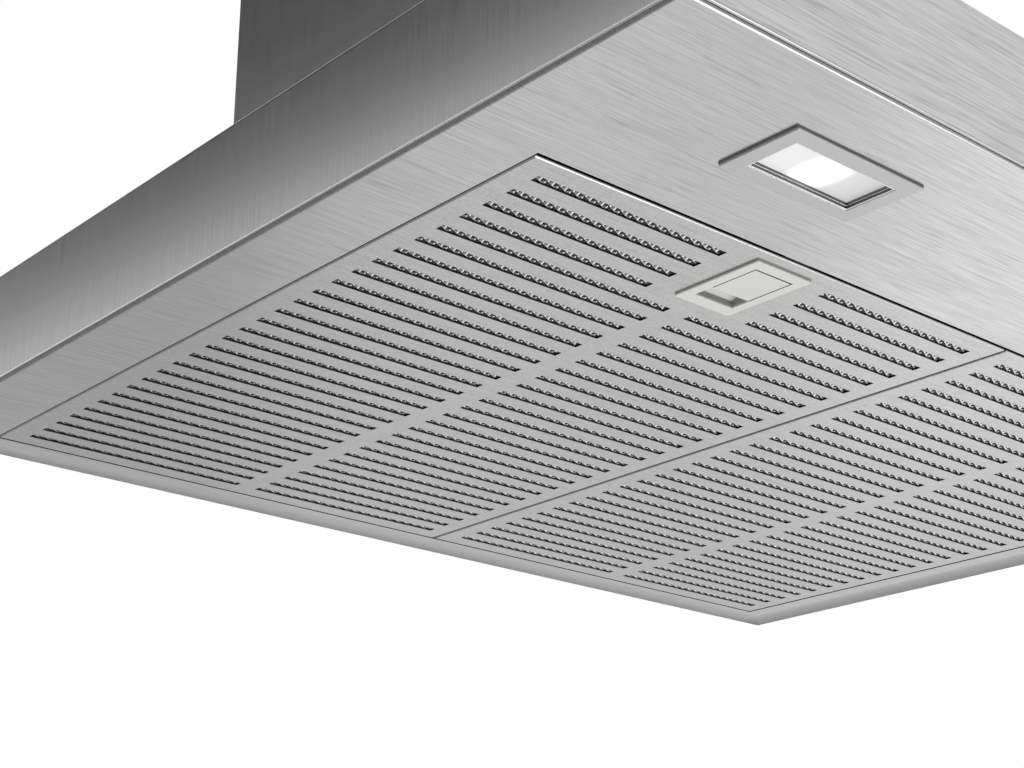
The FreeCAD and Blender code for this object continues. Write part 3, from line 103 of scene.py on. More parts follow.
class Grain(Enum):
    """Which way a sheet is brushed."""

    ACROSS = "along X"
    UPRIGHT = "along Z"
    FOLDED = "along Z on upright faces and along X on level ones"


class Symbol(Enum):
    """The plain mark printed over each push button."""

    LIGHT = "light"
    OFF = "off"
    LOW = "low"
    MEDIUM = "medium"
    HIGH = "high"


class Faces(Enum):
    """The faces that a painted change of light or shade reaches."""

    ALL = "every face"
    WALLS = "upright faces"
    LEVEL = "level faces"


class Facet(Enum):
    """The facets of a mesh strand in turn, with the finish of each: painted half shade on the
    falling facet, a painted highlight on the bond and painted shade on the rising facet.
    """

    FALL = "mesh_aluminium"
    BOND = "mesh_bright"
    RISE = "mesh_shade"


class NodeTree:
    """A shader node tree, with short calls for its nodes and links."""

    def __init__(self, tree: bpy.types.NodeTree) -> None:
        """Keep the tree that nodes are added to."""
        self.tree = tree

    def node(self, kind: str, inputs: dict | None = None, **settings) -> bpy.types.Node:
        """Add a node.

        Args:
            kind: The node's type without its ShaderNode prefix.
            inputs: Constants for input sockets, by name or index.
            settings: The node's own properties.

        Returns:
            The new node.
        """
        made = self.tree.nodes.new(f"ShaderNode{kind}")
        for key, choice in settings.items():
            setattr(made, key, choice)
        for key, constant in (inputs or {}).items():
            made.inputs[key].default_value = constant
        return made

    def join(self, source: Socket, target: Socket) -> None:
        """Link two sockets."""
        self.tree.links.new(source, target)

    def feed(self, target: Socket, value: Socket | float) -> None:
        """Link a value to a socket, or set a fixed number on it.

        Args:
            target: The input socket.
            value: The value or the number.
        """
        if isinstance(value, float):
            target.default_value = value
        else:
            self.join(value, target)

    def math(self, operation: str, first: Socket, second: Socket | float = 0.0) -> Socket:
        """Work out one sum on values.

        Args:
            operation: The sum's name in Blender.
            first: The first value.
            second: The second value, or a fixed number.

        Returns:
            The result.
        """
        made = self.node("Math", operation=operation)
        self.join(first, made.inputs[0])
        self.feed(made.inputs[1], second)
        return made.outputs[0]

    def mix(self, share: Socket | float, first: Socket | float, second: Socket | float) -> Socket:
        """Mix two values or fixed numbers.

        Args:
            share: How much of the second goes in, from 0 to 1.
            first: The first value.
            second: The second value.

        Returns:
            The mixed value.
        """
        made = self.node("Mix", data_type="FLOAT")
        for place, value in ((0, share), (2, first), (3, second)):
            self.feed(made.inputs[place], value)
        return made.outputs[0]

    def spread(self, fac: Socket, span: Span, onto: Span, smooth: bool = False) -> Socket:
        """Stretch a value from one span onto another, with its ends held.

        Args:
            fac: The value.
            span: The ends of the value's span.
            onto: What the ends become.
            smooth: Whether the change eases in and out.

        Returns:
            The stretched value.
        """
        made = self.node("MapRange", {1: span[0], 2: span[1], 3: onto[0], 4: onto[1]})
        made.interpolation_type = "SMOOTHSTEP" if smooth else "LINEAR"
        self.join(fac, made.inputs[0])
        return made.outputs[0]

    def ease(self, fac: Socket, span: Span) -> Socket:
        """Give a value that goes smoothly from 0 to 1 over a span."""
        return self.spread(fac, span, (0.0, 1.0), True)

    def split(self, vector: Socket) -> list[Socket]:
        """Take a vector apart.

        Args:
            vector: The vector.

        Returns:
            Its X, Y and Z.
        """
        made = self.node("SeparateXYZ")
        self.join(vector, made.inputs[0])
        return list(made.outputs)


class Recipe(NodeTree):
    """A material's node tree round its surface shader."""

    def __init__(self, name: str) -> None:
        """Start a material.

        Args:
            name: The material's name.
        """
        self.material = bpy.data.materials.new(name)
        self.material.use_nodes = True
        super().__init__(self.material.node_tree)
        self.surface = self.tree.nodes["Principled BSDF"]

    def fix(self, **numbers: float) -> None:
        """Set constant numbers on the surface, with spaces in socket names as underscores."""
        for key, number in numbers.items():
            self.surface.inputs[key.replace("_", " ")].default_value = number

    def paint(self, colour: Colour, socket: str = "Base Color") -> None:
        """Set a constant colour on the surface."""
        self.surface.inputs[socket].default_value = (*colour, 1.0)

    def placed(self, scale: Point = (1.0, 1.0, 1.0), shift: Point = (0.0, 0.0, 0.0)) -> Socket:
        """Give the piece's own coordinates, stretched and moved.

        Args:
            scale: Pattern repeats per metre along X, Y and Z.
            shift: Where the pattern's middle goes, after the stretch.

        Returns:
            The vector socket.
        """
        mapping = self.node("Mapping", {"Scale": scale, "Location": shift})
        self.join(self.node("TexCoord").outputs["Object"], mapping.inputs["Vector"])
        return mapping.outputs["Vector"]

    def noise(self, where: Socket, detail: float = 2.0) -> Socket:
        """Add a soft noise.

        Args:
            where: The coordinates that it is read at.
            detail: How many finer layers it has.

        Returns:
            A value between 0 and 1.
        """
        made = self.node("TexNoise", {"Scale": 1.0, "Detail": detail, "Roughness": 0.6})
        self.join(where, made.inputs["Vector"])
        return made.outputs["Fac"]

    def cloud(self, repeats: float, detail: float = 2.0) -> Socket:
        """Give a soft noise of one size along every axis."""
        return self.noise(self.placed((repeats,) * 3), detail)

    def tint(
        self, fac: Socket, colour: Colour, factors: tuple[float, ...], span: Span = NOISE_SPAN
    ) -> None:
        """Colour the surface by a value.

        Args:
            fac: The value.
            colour: The colour.
            factors: The colour's factors, spaced evenly over the span.
            span: The ends of the value's span.
        """
        ramp = self.node("ValToRGB")
        elements = ramp.color_ramp.elements
        while len(elements) < len(factors):
            elements.new(0.5)
        step = (span[1] - span[0]) / (len(factors) - 1)
        for number, (element, factor) in enumerate(zip(elements, factors)):
            element.position = span[0] + number * step
            element.color = (*(min(1.0, part * factor) for part in colour), 1.0)
        self.join(fac, ramp.inputs["Fac"])
        self.join(ramp.outputs["Color"], self.surface.inputs["Base Color"])

    def level_face(self, least: float) -> Socket:
        """Tell level faces from upright ones.

        Args:
            least: The least upright part of a level face's normal.

        Returns:
            1 on level faces and 0 on the others.
        """
        rise = self.split(self.node("TexCoord").outputs["Normal"])[Axis.Z.value]
        return self.math("GREATER_THAN", self.math("ABSOLUTE", rise), least)

    def brighten(self, factor: Socket) -> None:
        """Multiply the surface's colour by a value.

        Args:
            factor: The value.
        """
        socket = self.surface.inputs["Base Color"]
        scaled = self.node("VectorMath", operation="SCALE")
        self.join(socket.links[0].from_socket, scaled.inputs[0])
        self.join(factor, scaled.inputs["Scale"])
        self.join(scaled.outputs[0], socket)

    def roughen(self, fac: Socket, low: float, high: float) -> None:
        """Vary the surface's roughness with a value."""
        self.join(self.spread(fac, NOISE_SPAN, (low, high)), self.surface.inputs["Roughness"])

    def emboss(self, height: Socket, strength: float, distance: float) -> bpy.types.Node:
        """Raise fine relief on the surface from a value.

        Args:
            height: The value.
            strength: How much of the relief shows.
            distance: How high a value of 1 stands.

        Returns:
            The relief's node.
        """
        made = self.node("Bump", {"Strength": strength, "Distance": distance})
        self.join(height, made.inputs["Height"])
        self.join(made.outputs["Normal"], self.surface.inputs["Normal"])
        return made


@dataclass(frozen=True)
class PaintedLightFade:
    """Painted light or shade: a change of tone along one axis of a piece."""

    axis: Axis
    span: Span
    gains: Span
    faces: Faces = Faces.ALL
    least: float = 0.25

    def apply(self, recipe: Recipe) -> None:
        """Paint light or shade into the surface's colour, from one end of the span to the other.

        Args:
            recipe: The material's node tree.
        """
        place = recipe.split(recipe.placed())[self.axis.value]
        gain = recipe.spread(place, self.span, self.gains)
        if self.faces is Faces.WALLS:
            gain = recipe.mix(recipe.level_face(self.least), gain, 1.0)
        if self.faces is Faces.LEVEL:
            gain = recipe.mix(recipe.level_face(self.least), 1.0, gain)
        recipe.brighten(gain)


@dataclass(frozen=True)
class Border:
    """A sheet's border that rolls gently up to its outer edge, on the right and at the rear."""

    right: float
    rear: float
    width: float
    right_slope: float
    rear_slope: float
    right_power: float = 1.35
    rear_power: float = 2.0

    def apply(self, recipe: Recipe, relief: bpy.types.Node) -> None:
        """Shade the border as a roll.

        Args:
            recipe: The material's node tree.
            relief: The node that raises the scratches.
        """
        x, y, _ = recipe.split(recipe.placed())
        rise = []
        for place, edge, slope, power in (
            (x, self.right, self.right_slope, self.right_power),
            (y, self.rear, self.rear_slope, self.rear_power),
        ):
            share = recipe.spread(place, (edge - self.width, edge), (0.0, 1.0))
            bent = recipe.math("POWER", share, power)
            rise.append(recipe.math("MULTIPLY", bent, slope * self.width / power))
        roll = recipe.node("Bump", {"Strength": 1.0, "Distance": 1.0}, invert=True)
        recipe.join(recipe.math("MAXIMUM", *rise), roll.inputs["Height"])
        recipe.join(roll.outputs["Normal"], relief.inputs["Normal"])


@dataclass(frozen=True)
class BrushedSteel:
    """Stainless sheet with fine parallel scratches."""

    name: str
    grey: float
    grain: Grain
    roughness: float = 0.30
    contrast: float = 0.16
    relief: float = 0.10
    speckle: float = 0.0
    scratch: float = 0.14
    draw: float = 0.85
    border: Border | None = None
    fades: tuple[PaintedLightFade, ...] = ()
    finest_share: float = 0.4
    broad_share: float = 0.12
    cut_span: Span = (0.31, 0.39)
    level: float = 0.7
    grit: float = 950.0
    light_share: float = 0.8
    sway: float = 0.04
    depth: float = 0.00006

    def streaks(self, recipe: Recipe, along: Axis) -> Socket:
        """Give the scratches' tone, drawn out along one axis.

        Args:
            recipe: The material's node tree.
            along: The axis of the brush.

        Returns:
            A value about 0.5.
        """
        layers = []
        for across, run in BRUSH_LAYERS:
            scale = [across] * 3
            scale[along.value] = run
            shift = (across % 7.0, across % 11.0, across % 5.0)
            layers.append(recipe.noise(recipe.placed(tuple(scale), shift), 2.5))
        fine, finest, broad, deep = layers
        grain = recipe.mix(self.finest_share, fine, finest)
        grain = recipe.mix(self.broad_share, grain, broad)
        cuts = recipe.spread(deep, self.cut_span, (-self.scratch, 0.0))
        return recipe.math("ADD", grain, cuts)

    def make(self) -> Material:
        """Build the material.

        Returns:
            The new material.
        """
        recipe = Recipe(self.name)
        recipe.fix(Metallic=1.0, Anisotropic=self.draw)
        along = Axis.X if self.grain is Grain.ACROSS else Axis.Z
        tone = self.streaks(recipe, along)
        if self.grain is Grain.FOLDED:
            tone = recipe.mix(recipe.level_face(self.level), tone, self.streaks(recipe, Axis.X))
        if self.speckle:
            tone = recipe.mix(self.speckle, tone, recipe.cloud(self.grit))
        if self.draw:
            self.turn_gloss(recipe, along)
        factors = (1.0 - self.contrast, 1.0, 1.0 + self.light_share * self.contrast)
        recipe.tint(tone, (self.grey,) * 3, factors)
        for fade in self.fades:
            fade.apply(recipe)
        recipe.roughen(tone, self.roughness + self.sway, self.roughness - self.sway)
        relief = recipe.emboss(tone, self.relief, self.depth)
        if self.border:
            self.border.apply(recipe, relief)
        return recipe.material

    @staticmethod
    def turn_gloss(recipe: Recipe, along: Axis) -> None:
        """Draw the gloss out square to the brush.

        Args:
            recipe: The material's node tree.
            along: The axis of the brush.
        """
        brush = recipe.node("CombineXYZ", {along.name: 1.0})
        world = recipe.node(
            "VectorTransform", vector_type="VECTOR", convert_from="OBJECT", convert_to="WORLD"
        )
        recipe.join(brush.outputs[0], world.inputs[0])
        across = recipe.node("VectorMath", operation="CROSS_PRODUCT")
        recipe.join(recipe.node("NewGeometry").outputs["True Normal"], across.inputs[0])
        recipe.join(world.outputs[0], across.inputs[1])
        recipe.join(across.outputs[0], recipe.surface.inputs["Tangent"])


@dataclass(frozen=True)
class PlainSurface:
    """Plain surface with a soft cloud of tone, such as mesh, trim, ground rod, or the dark seal
    that paints shade.
    """

    name: str
    colour: Colour
    roughness: float = 0.3
    contrast: float = 0.12
    cloud: float = 300.0
    metallic: float = 1.0
    fades: tuple[PaintedLightFade, ...] = ()
    detail: float = 4.0
    sway: float = 0.06
    gloss: float = 0.5
    relief: float = 0.06
    depth: float = 0.0001

    def make(self) -> Material:
        """Build the material.

        Returns:
            The new material.
        """
        recipe = Recipe(self.name)
        recipe.fix(Metallic=self.metallic, Specular_IOR_Level=self.gloss)
        tone = recipe.cloud(self.cloud, self.detail)
        recipe.tint(tone, self.colour, (1.0 - self.contrast, 1.0 + self.contrast))
        for fade in self.fades:
            fade.apply(recipe)
        recipe.roughen(tone, self.roughness - self.sway, self.roughness + self.sway)
        recipe.emboss(tone, self.relief, self.depth)
        return recipe.material


@dataclass(frozen=True)
class ExpandedMetal:
    """Aluminium mesh layers seen face on: bright strands round dark diamonds."""

    name: str
    grey: float
    pitch: Span = (0.0060, 0.0032)
    strand: float = 0.13
    strand_edge: float = 0.06
    cloud: float = 420.0
    cloud_detail: float = 3.0
    cloud_share: float = 0.25
    tone_span: Span = (0.15, 0.80)
    hole: float = 0.10
    roughness: Span = (0.30, 0.42)
    relief: float = 0.5
    depth: float = 0.0004

    def make(self) -> Material:
        """Build the material.

        Returns:
            The new material.
        """
        recipe = Recipe(self.name)
        recipe.fix(Metallic=1.0)
        x, y, _ = recipe.split(recipe.placed((1.0 / self.pitch[0], 1.0 / self.pitch[1], 1.0)))
        ways = [recipe.math(way, x, y) for way in ("ADD", "SUBTRACT")]
        depth = recipe.math("MINIMUM", *(recipe.math("PINGPONG", way, 0.5) for way in ways))
        edge = (self.strand, self.strand + self.strand_edge)
        height = recipe.spread(depth, edge, (1.0, 0.0), True)
        cloud = recipe.cloud(self.cloud, self.cloud_detail)
        tone = recipe.mix(self.cloud_share, height, cloud)
        recipe.tint(tone, (self.grey,) * 3, (self.hole, 1.0), self.tone_span)
        recipe.roughen(cloud, *self.roughness)
        recipe.emboss(height, self.relief, self.depth)
        return recipe.material


@dataclass(frozen=True)
class ZincSheet:
    """Zinc-coated sheet with the crystals of its coating."""

    name: str
    colour: Colour
    spangle: float = 90.0
    metallic: float = 0.9
    cloud: float = 40.0
    cloud_detail: float = 3.0
    cloud_share: float = 0.45
    tone_span: Span = (0.2, 0.8)
    tones: Span = (0.82, 1.15)
    roughness: Span = (0.36, 0.52)

    def make(self) -> Material:
        """Build the material.

        Returns:
            The new material.
        """
        recipe = Recipe(self.name)
        recipe.fix(Metallic=self.metallic)
        cells = recipe.node("TexVoronoi", {"Scale": 1.0, "Randomness": 1.0})
        recipe.join(recipe.placed((self.spangle,) * 3), cells.inputs["Vector"])
        grey = recipe.node("RGBToBW")
        recipe.join(cells.outputs["Color"], grey.inputs[0])
        cloud = recipe.cloud(self.cloud, self.cloud_detail)
        tone = recipe.mix(self.cloud_share, grey.outputs[0], cloud)
        recipe.tint(tone, self.colour, self.tones, self.tone_span)
        recipe.roughen(tone, *self.roughness)
        return recipe.material


@dataclass(frozen=True)
class MouldedPlastic:
    """Moulded plastic with a faint spark-eroded grain."""

    name: str
    colour: Colour
    roughness: float = 0.45
    grain: float = 2600.0
    relief: float = 0.05
    fades: tuple[PaintedLightFade, ...] = ()
    cloud: float = 55.0
    cloud_shift: Point = (2.0, 5.0, 1.0)
    cloud_share: float = 0.6
    tones: Span = (0.965, 1.035)
    sway: float = 0.05
    depth: float = 0.00005

    def make(self) -> Material:
        """Build the material.

        Returns:
            The new material.
        """
        recipe = Recipe(self.name)
        grain = recipe.cloud(self.grain)
        cloud = recipe.noise(recipe.placed((self.cloud,) * 3, self.cloud_shift))
        recipe.tint(recipe.mix(self.cloud_share, grain, cloud), self.colour, self.tones)
        for fade in self.fades:
            fade.apply(recipe)
        recipe.roughen(grain, self.roughness - self.sway, self.roughness + self.sway)
        recipe.emboss(grain, self.relief, self.depth)
        return recipe.material


@dataclass(frozen=True)
class FrostedLens:
    """Frosted cover of a lit lamp, brightest round its emitter."""

    name: str
    middle: Point
    half: float = 0.026
    shape: Point = (1.0, 0.62, 1.0)
    spot: float = 0.0086
    spot_edge: Span = (0.6, 1.35)
    glow: float = 0.45
    # Painted light: lean makes the glow lighter at the lens's left end and darker at its right.
    lean: float = 0.12
    peak: float = 0.62
    dip: float = 0.06
    colour: Colour = (0.30, 0.30, 0.30)
    light: Colour = (1.0, 1.0, 1.0)
    roughness: float = 0.32
    frost: float = 1500.0
    relief: float = 0.08
    depth: float = 0.0001

    def make(self) -> Material:
        """Build the material.

        Returns:
            The new material.
        """
        recipe = Recipe(self.name)
        recipe.paint(self.colour)
        recipe.paint(self.light, "Emission Color")
        recipe.fix(Roughness=self.roughness)
        shift = tuple(-part * scale for part, scale in zip(self.middle, self.shape))
        reach = recipe.node("VectorMath", operation="LENGTH")
        recipe.join(recipe.placed(self.shape, shift), reach.inputs[0])
        far = reach.outputs["Value"]
        edge = (self.spot * self.spot_edge[0], self.spot * self.spot_edge[1])
        hot = recipe.spread(far, edge, (self.peak, self.dip), True)
        fall = recipe.spread(far, (self.spot, self.half), (0.0, -self.dip))
        ends = (self.middle[0] - self.half, self.middle[0] + self.half)
        glows = (self.glow + self.lean, self.glow - self.lean)
        # The glow's painted tilt from left to right.
        tilt = recipe.spread(recipe.split(recipe.placed())[Axis.X.value], ends, glows)
        light = recipe.math("ADD", recipe.math("ADD", hot, fall), tilt)
        recipe.join(light, recipe.surface.inputs["Emission Strength"])
        recipe.emboss(recipe.cloud(self.frost), self.relief, self.depth)
        return recipe.material


def piece(name: str, mesh: Mesh, *finishes: Material) -> Thing:
    """Turn a finished bmesh into an object at the origin.

    Args:
        name: The object's name.
        mesh: The bmesh, which is used up.
        finishes: The piece's materials, in the order of its faces' indices.

    Returns:
        The new object.
    """
    data = bpy.data.meshes.new(name)
    mesh.to_mesh(data)
    mesh.free()
    for finish in finishes:
        data.materials.append(finish)
    made = bpy.data.objects.new(name, data)
    bpy.context.scene.collection.objects.link(made)
    LOG.info("%s: %d faces", name, len(data.polygons))
    return made


def shift_all(mesh: Mesh, shift: Point | Vector) -> None:
    """Move a whole bmesh."""
    bmesh.ops.translate(mesh, vec=shift, verts=mesh.verts[:])


def face_out(mesh: Mesh) -> None:
    """Turn every face of a closed bmesh outwards."""
    bmesh.ops.recalc_face_normals(mesh, faces=mesh.faces[:])


def new_of(kind: type, made: dict) -> list:
    """Pick the elements of one kind from an operator's result."""
    return [part for part in made["geom"] if isinstance(part, kind)]


def draw_out(mesh: Mesh, edges: list[Edge], shift: Point) -> tuple[list[Edge], list[Face]]:
    """Draw edges out into new faces.

    Args:
        mesh: The bmesh.
        edges: The edges.
        shift: How far they go.

    Returns:
        The far edges and the new faces.
    """
    drawn = bmesh.ops.extrude_edge_only(mesh, edges=edges)
    verts = set(new_of(Vert, drawn))
    bmesh.ops.translate(mesh, vec=shift, verts=list(verts))
    far = [edge for edge in new_of(Edge, drawn) if all(vert in verts for vert in edge.verts)]
    return far, new_of(Face, drawn)


def thicken(mesh: Mesh, faces: list[Face], height: float, keep: bool) -> None:
    """Draw level faces out along Z.

    Args:
        mesh: The bmesh.
        faces: The faces.
        height: How far they go.
        keep: Whether the operator is told to keep the first faces.
    """
    drawn = bmesh.ops.extrude_face_region(mesh, geom=faces, use_keep_orig=keep)
    bmesh.ops.translate(mesh, vec=(0, 0, height), verts=new_of(Vert, drawn))


def bevel(mesh: Mesh, edges: list[Edge], offset: float, segments: int) -> None:
    """Round edges off.

    Args:
        mesh: The bmesh.
        edges: The edges.
        offset: How far the round reaches.
        segments: How many faces it has.
    """
    bmesh.ops.bevel(
        mesh,
        geom=edges,
        offset=offset,
        offset_type="OFFSET",
        segments=segments,
        profile=0.5,
        affect="EDGES",
        material=-1,
    )


def inset(mesh: Mesh, faces: list[Face], width: float) -> list[Face]:
    """Draw a frame inside the edge of a plate.

    Args:
        mesh: The bmesh.
        faces: The plate's faces.
        width: The frame's width.

    Returns:
        The frame's faces.
    """
    made = bmesh.ops.inset_region(
        mesh, faces=faces, thickness=width, use_boundary=True, use_even_offset=True
    )
    return made["faces"]


def add_block(mesh: Mesh, low: Vector, high: Vector) -> list[Vert]:
    """Add a block between two corners.

    Args:
        mesh: The bmesh to add to.
        low: The lower corner.
        high: The upper corner.

    Returns:
        The block's vertices.
    """
    verts = bmesh.ops.create_cube(mesh, size=1.0)["verts"]
    bmesh.ops.scale(mesh, vec=high - low, verts=verts)
    bmesh.ops.translate(mesh, vec=(low + high) / 2, verts=verts)
    return verts


@dataclass
class ScrewHead:
    """A domed screw head with a cross recess."""

    radius: float = 0.0035
    height: float = 0.0022
    recess: float = 0.0020
    slot: float = 0.00075
    depth: float = 0.55
    steps: tuple[Span, ...] = ((0.9, 0.25), (1.0, 0.55), (1.0, 1.0))
    spin: float = 0.7

    def build(self, name: str, places: list[Vector], axis: Vector, finish: Material) -> Thing:
        """Build one piece that holds every head of a group.

        Args:
            name: The piece's name.
            places: Where each head's seat lies.
            axis: The way the heads point.
            finish: The material.

        Returns:
            The new object.
        """
        mesh = bmesh.new()
        turn = Vector((0, 0, 1)).rotation_difference(axis).to_matrix()
        for number, seat in enumerate(places):
            verts = self.turn_head(mesh)
            spin = Matrix.Rotation(self.spin * number, 3, "Z")
            bmesh.ops.rotate(mesh, cent=(0, 0, 0), matrix=turn @ spin, verts=verts)
            bmesh.ops.translate(mesh, vec=seat, verts=verts)
        return piece(name, mesh, finish)

    def turn_head(self, mesh: Mesh) -> list[Vert]:
        """Raise one head on the origin, with its recess pressed in.

        Args:
            mesh: The bmesh to add to.

        Returns:
            The head's vertices.
        """
        before = set(mesh.verts)
        arm, cut = self.recess, self.slot / 2
        bmesh.ops.create_grid(mesh, x_segments=3, y_segments=3, size=1.0)
        made = [vert for vert in mesh.verts if vert not in before]
        for vert in made:
            for axis in (0, 1):
                inner = abs(vert.co[axis]) < 0.5
                vert.co[axis] = math.copysign(cut if inner else arm, vert.co[axis])
        cross = [
            face
            for face in {face for vert in made for face in vert.link_faces}
            if min(abs(part) for part in face.calc_center_median()[:2]) < cut
        ]
        edges = [edge for edge in {e for v in made for e in v.link_edges} if edge.is_boundary]
        for reach, drop in self.steps:
            edges, _ = draw_out(mesh, edges, (0, 0, 0))
            for vert in {vert for edge in edges for vert in edge.verts}:
                vert.co = Vector((vert.co.x, vert.co.y, 0)).normalized() * self.radius * reach
                vert.co.z = -self.height * drop
        bmesh.ops.holes_fill(mesh, edges=edges, sides=0)
        thicken(mesh, cross, -self.height * self.depth, False)
        bmesh.ops.delete(mesh, geom=cross, context="FACES_ONLY")
        verts = [vert for vert in mesh.verts if vert not in before]
        bmesh.ops.translate(mesh, vec=(0, 0, self.height), verts=verts)
        faces = list({face for vert in verts for face in vert.link_faces})
        bmesh.ops.recalc_face_normals(mesh, faces=faces)
        return verts


@dataclass
class Assembly:
    """A sub-assembly of the hood, with the solids and the finishes by name."""

    nodes: dict[str, Thing]
    finishes: dict[str, Material]

    def dress(self, finish: str, *names: str) -> None:
        """Give solids their finish.

        Args:
            finish: The finish's name.
            names: The solids to dress.
        """
        for name in names:
            slots = self.nodes[name].data.materials
            slots.clear()
            slots.append(self.finishes[finish])
            LOG.info("%s: %s", name, finish)


@dataclass
class SidedAssembly(Assembly):
    """A sub-assembly that the hood has on both sides."""

    side: Side

    def named(self, part: str) -> str:
        """Give the name of one of this side's solids or joints."""
        return f"{part}_{self.side.label()}"


@dataclass
class GreaseFilter(SidedAssembly):
    """One grease filter: slotted tray, expanded mesh, back frame and sliding latch."""

    pitch: float = 0.00584
    row: float = 0.0014
    bond: float = 0.0006
    strand: float = 0.0016
    gauge: float = 0.0002
    lean: float = math.radians(66)
    lift: float = 0.00025
    slot_row: float = 0.01205
    slot_pitch: float = 0.0126
    slot_rows: int = 9
    band: tuple[int, int] = (-1, 4)
    core_lift: float = 0.0026
    core_gauge: float = 0.0003
    core_fold: float = 0.0042
    core_top: float = 0.1
    room_half: float = 0.01895
    room_depth: float = 0.0514
    coil_radius: float = 0.00115
    wire: float = 0.00022
    wire_sides: int = 6
    turns: int = 11
    turn_steps: int = 12
    spring_keep: float = 0.72

    def strip(self, mesh: Mesh, start: Vector, periods: int) -> None:
        """Fold one strand along X: to the rear, level at its bond, and to the front again.

        Args:
            mesh: The bmesh to add to.
            start: The strand's lower left end.
            periods: The number of diamonds along it.
        """
        half = self.pitch / 2
        moves = {
            Facet.FALL: Vector((half, self.row, 0)),
            Facet.BOND: Vector((self.bond, 0, 0)),
            Facet.RISE: Vector((half - self.bond, -self.row, 0)),
        }
        edge = Vector((0, -math.sin(self.lean), math.cos(self.lean))) * self.strand
        front = [mesh.edges.new([mesh.verts.new(start), mesh.verts.new(start + edge)])]
        faces = []
        for number, facet in enumerate(list(Facet) * periods):
            front, drawn = draw_out(mesh, front, moves[facet])
            for face in drawn:
                # Each facet takes its own tone of painted light or shade.
                face.material_index = number % len(Facet)
            faces += drawn
        bmesh.ops.recalc_face_normals(mesh, faces=faces)
        bmesh.ops.solidify(mesh, geom=faces, thickness=self.gauge)

    def in_room(self, mesh: Mesh, spare: float) -> list[Face]:
        """Find the faces that lie where the latch needs room.

        Args:
            mesh: The bmesh.
            spare: How far the room reaches past the latch on each side.

        Returns:
            The faces.
        """
        low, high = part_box(self.named("filter_mesh"))
        middle = (low.x + high.x) / 2
        return [
            face
            for face in mesh.faces
            if abs(face.calc_center_median().x - middle) < self.room_half + spare
            and face.calc_center_median().y < low.y + self.room_depth
        ]

    def build_mesh(self) -> None:
        """Draw the expanded mesh over the slots, with room left for the latch."""
        low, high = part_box(self.named("filter_mesh"))
        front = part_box(self.named("filter_tray"))[0].y
        periods = int((high.x - low.x) / self.pitch) - 1
        left = (low.x + high.x - (periods + 0.5) * self.pitch) / 2
        slots = int((high.y - front - self.slot_row) / self.slot_pitch) + 1
        mesh = bmesh.new()
        for odd in range(2):
            strand = bmesh.new()
            base = Vector((left + odd * self.pitch / 2, front + self.slot_row, low.z + self.lift))
            self.strip(strand, base, periods)
            kept = bpy.data.meshes.new("strand")
            strand.to_mesh(kept)
            strand.free()
            for slot in range(slots):
                for row in range(*self.band):
                    if (slot * self.slot_rows + row) % 2 != odd:
                        continue
                    known = len(mesh.verts)
                    mesh.from_mesh(kept)
                    mesh.verts.ensure_lookup_table()
                    shift = (0, slot * self.slot_pitch + row * self.row, 0)
                    bmesh.ops.translate(mesh, vec=shift, verts=mesh.verts[known:])
            bpy.data.meshes.remove(kept)
        bmesh.ops.delete(mesh, geom=self.in_room(mesh, self.pitch / 4), context="FACES")
        rims = [edge for edge in mesh.edges if edge.is_boundary]
        bmesh.ops.holes_fill(mesh, edges=rims, sides=4)
        # Painted half shade, painted highlight and painted shade, one for each facet.
        looks = [self.finishes[facet.value] for facet in Facet]
        made = piece(self.named("expanded_mesh"), mesh, *looks)
        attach(made, self.named("filter"))
        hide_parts(self.named("filter_mesh"))

    def build_core(self) -> None:
        """Fold the upper mesh layers: mesh pattern on top, and a near-black sheet of painted shade
        over the strands.
        """
        low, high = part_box(self.named("filter_mesh"))
        mesh = bmesh.new()
        floor = low.z + self.core_lift
        rise = high.z - self.core_gauge - floor
        ends = [mesh.verts.new((low.x, place, floor)) for place in (low.y, high.y)]
        front = [mesh.edges.new(ends)]
        steps = int((high.x - low.x) / self.core_fold)
        for step in range(steps):
            way = rise if step % 2 == 0 else -rise
            front, _ = draw_out(mesh, front, ((high.x - low.x) / steps, 0, way))
        middle = (low.x + high.x) / 2
        for place, normal in (
            ((middle - self.room_half, 0, 0), (1, 0, 0)),
            ((middle + self.room_half, 0, 0), (1, 0, 0)),
            ((0, low.y + self.room_depth, 0), (0, 1, 0)),
        ):
            geom = mesh.verts[:] + mesh.edges[:] + mesh.faces[:]
            bmesh.ops.bisect_plane(mesh, geom=geom, plane_co=place, plane_no=normal)
        bmesh.ops.delete(mesh, geom=self.in_room(mesh, 0.0), context="FACES")
        face_out(mesh)
        bmesh.ops.solidify(mesh, geom=mesh.faces[:], thickness=self.core_gauge)
        face_out(mesh)
        for face in mesh.faces:
            # Faces that look down over the strands get painted shade.
            face.material_index = int(face.normal.z > self.core_top)
        looks = [self.finishes[name] for name in ("mesh_shade", "mesh_layers")]
        made = piece(self.named("mesh_core"), mesh, *looks)
        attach(made, self.named("filter"))
        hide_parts(self.named("filter_mesh"))

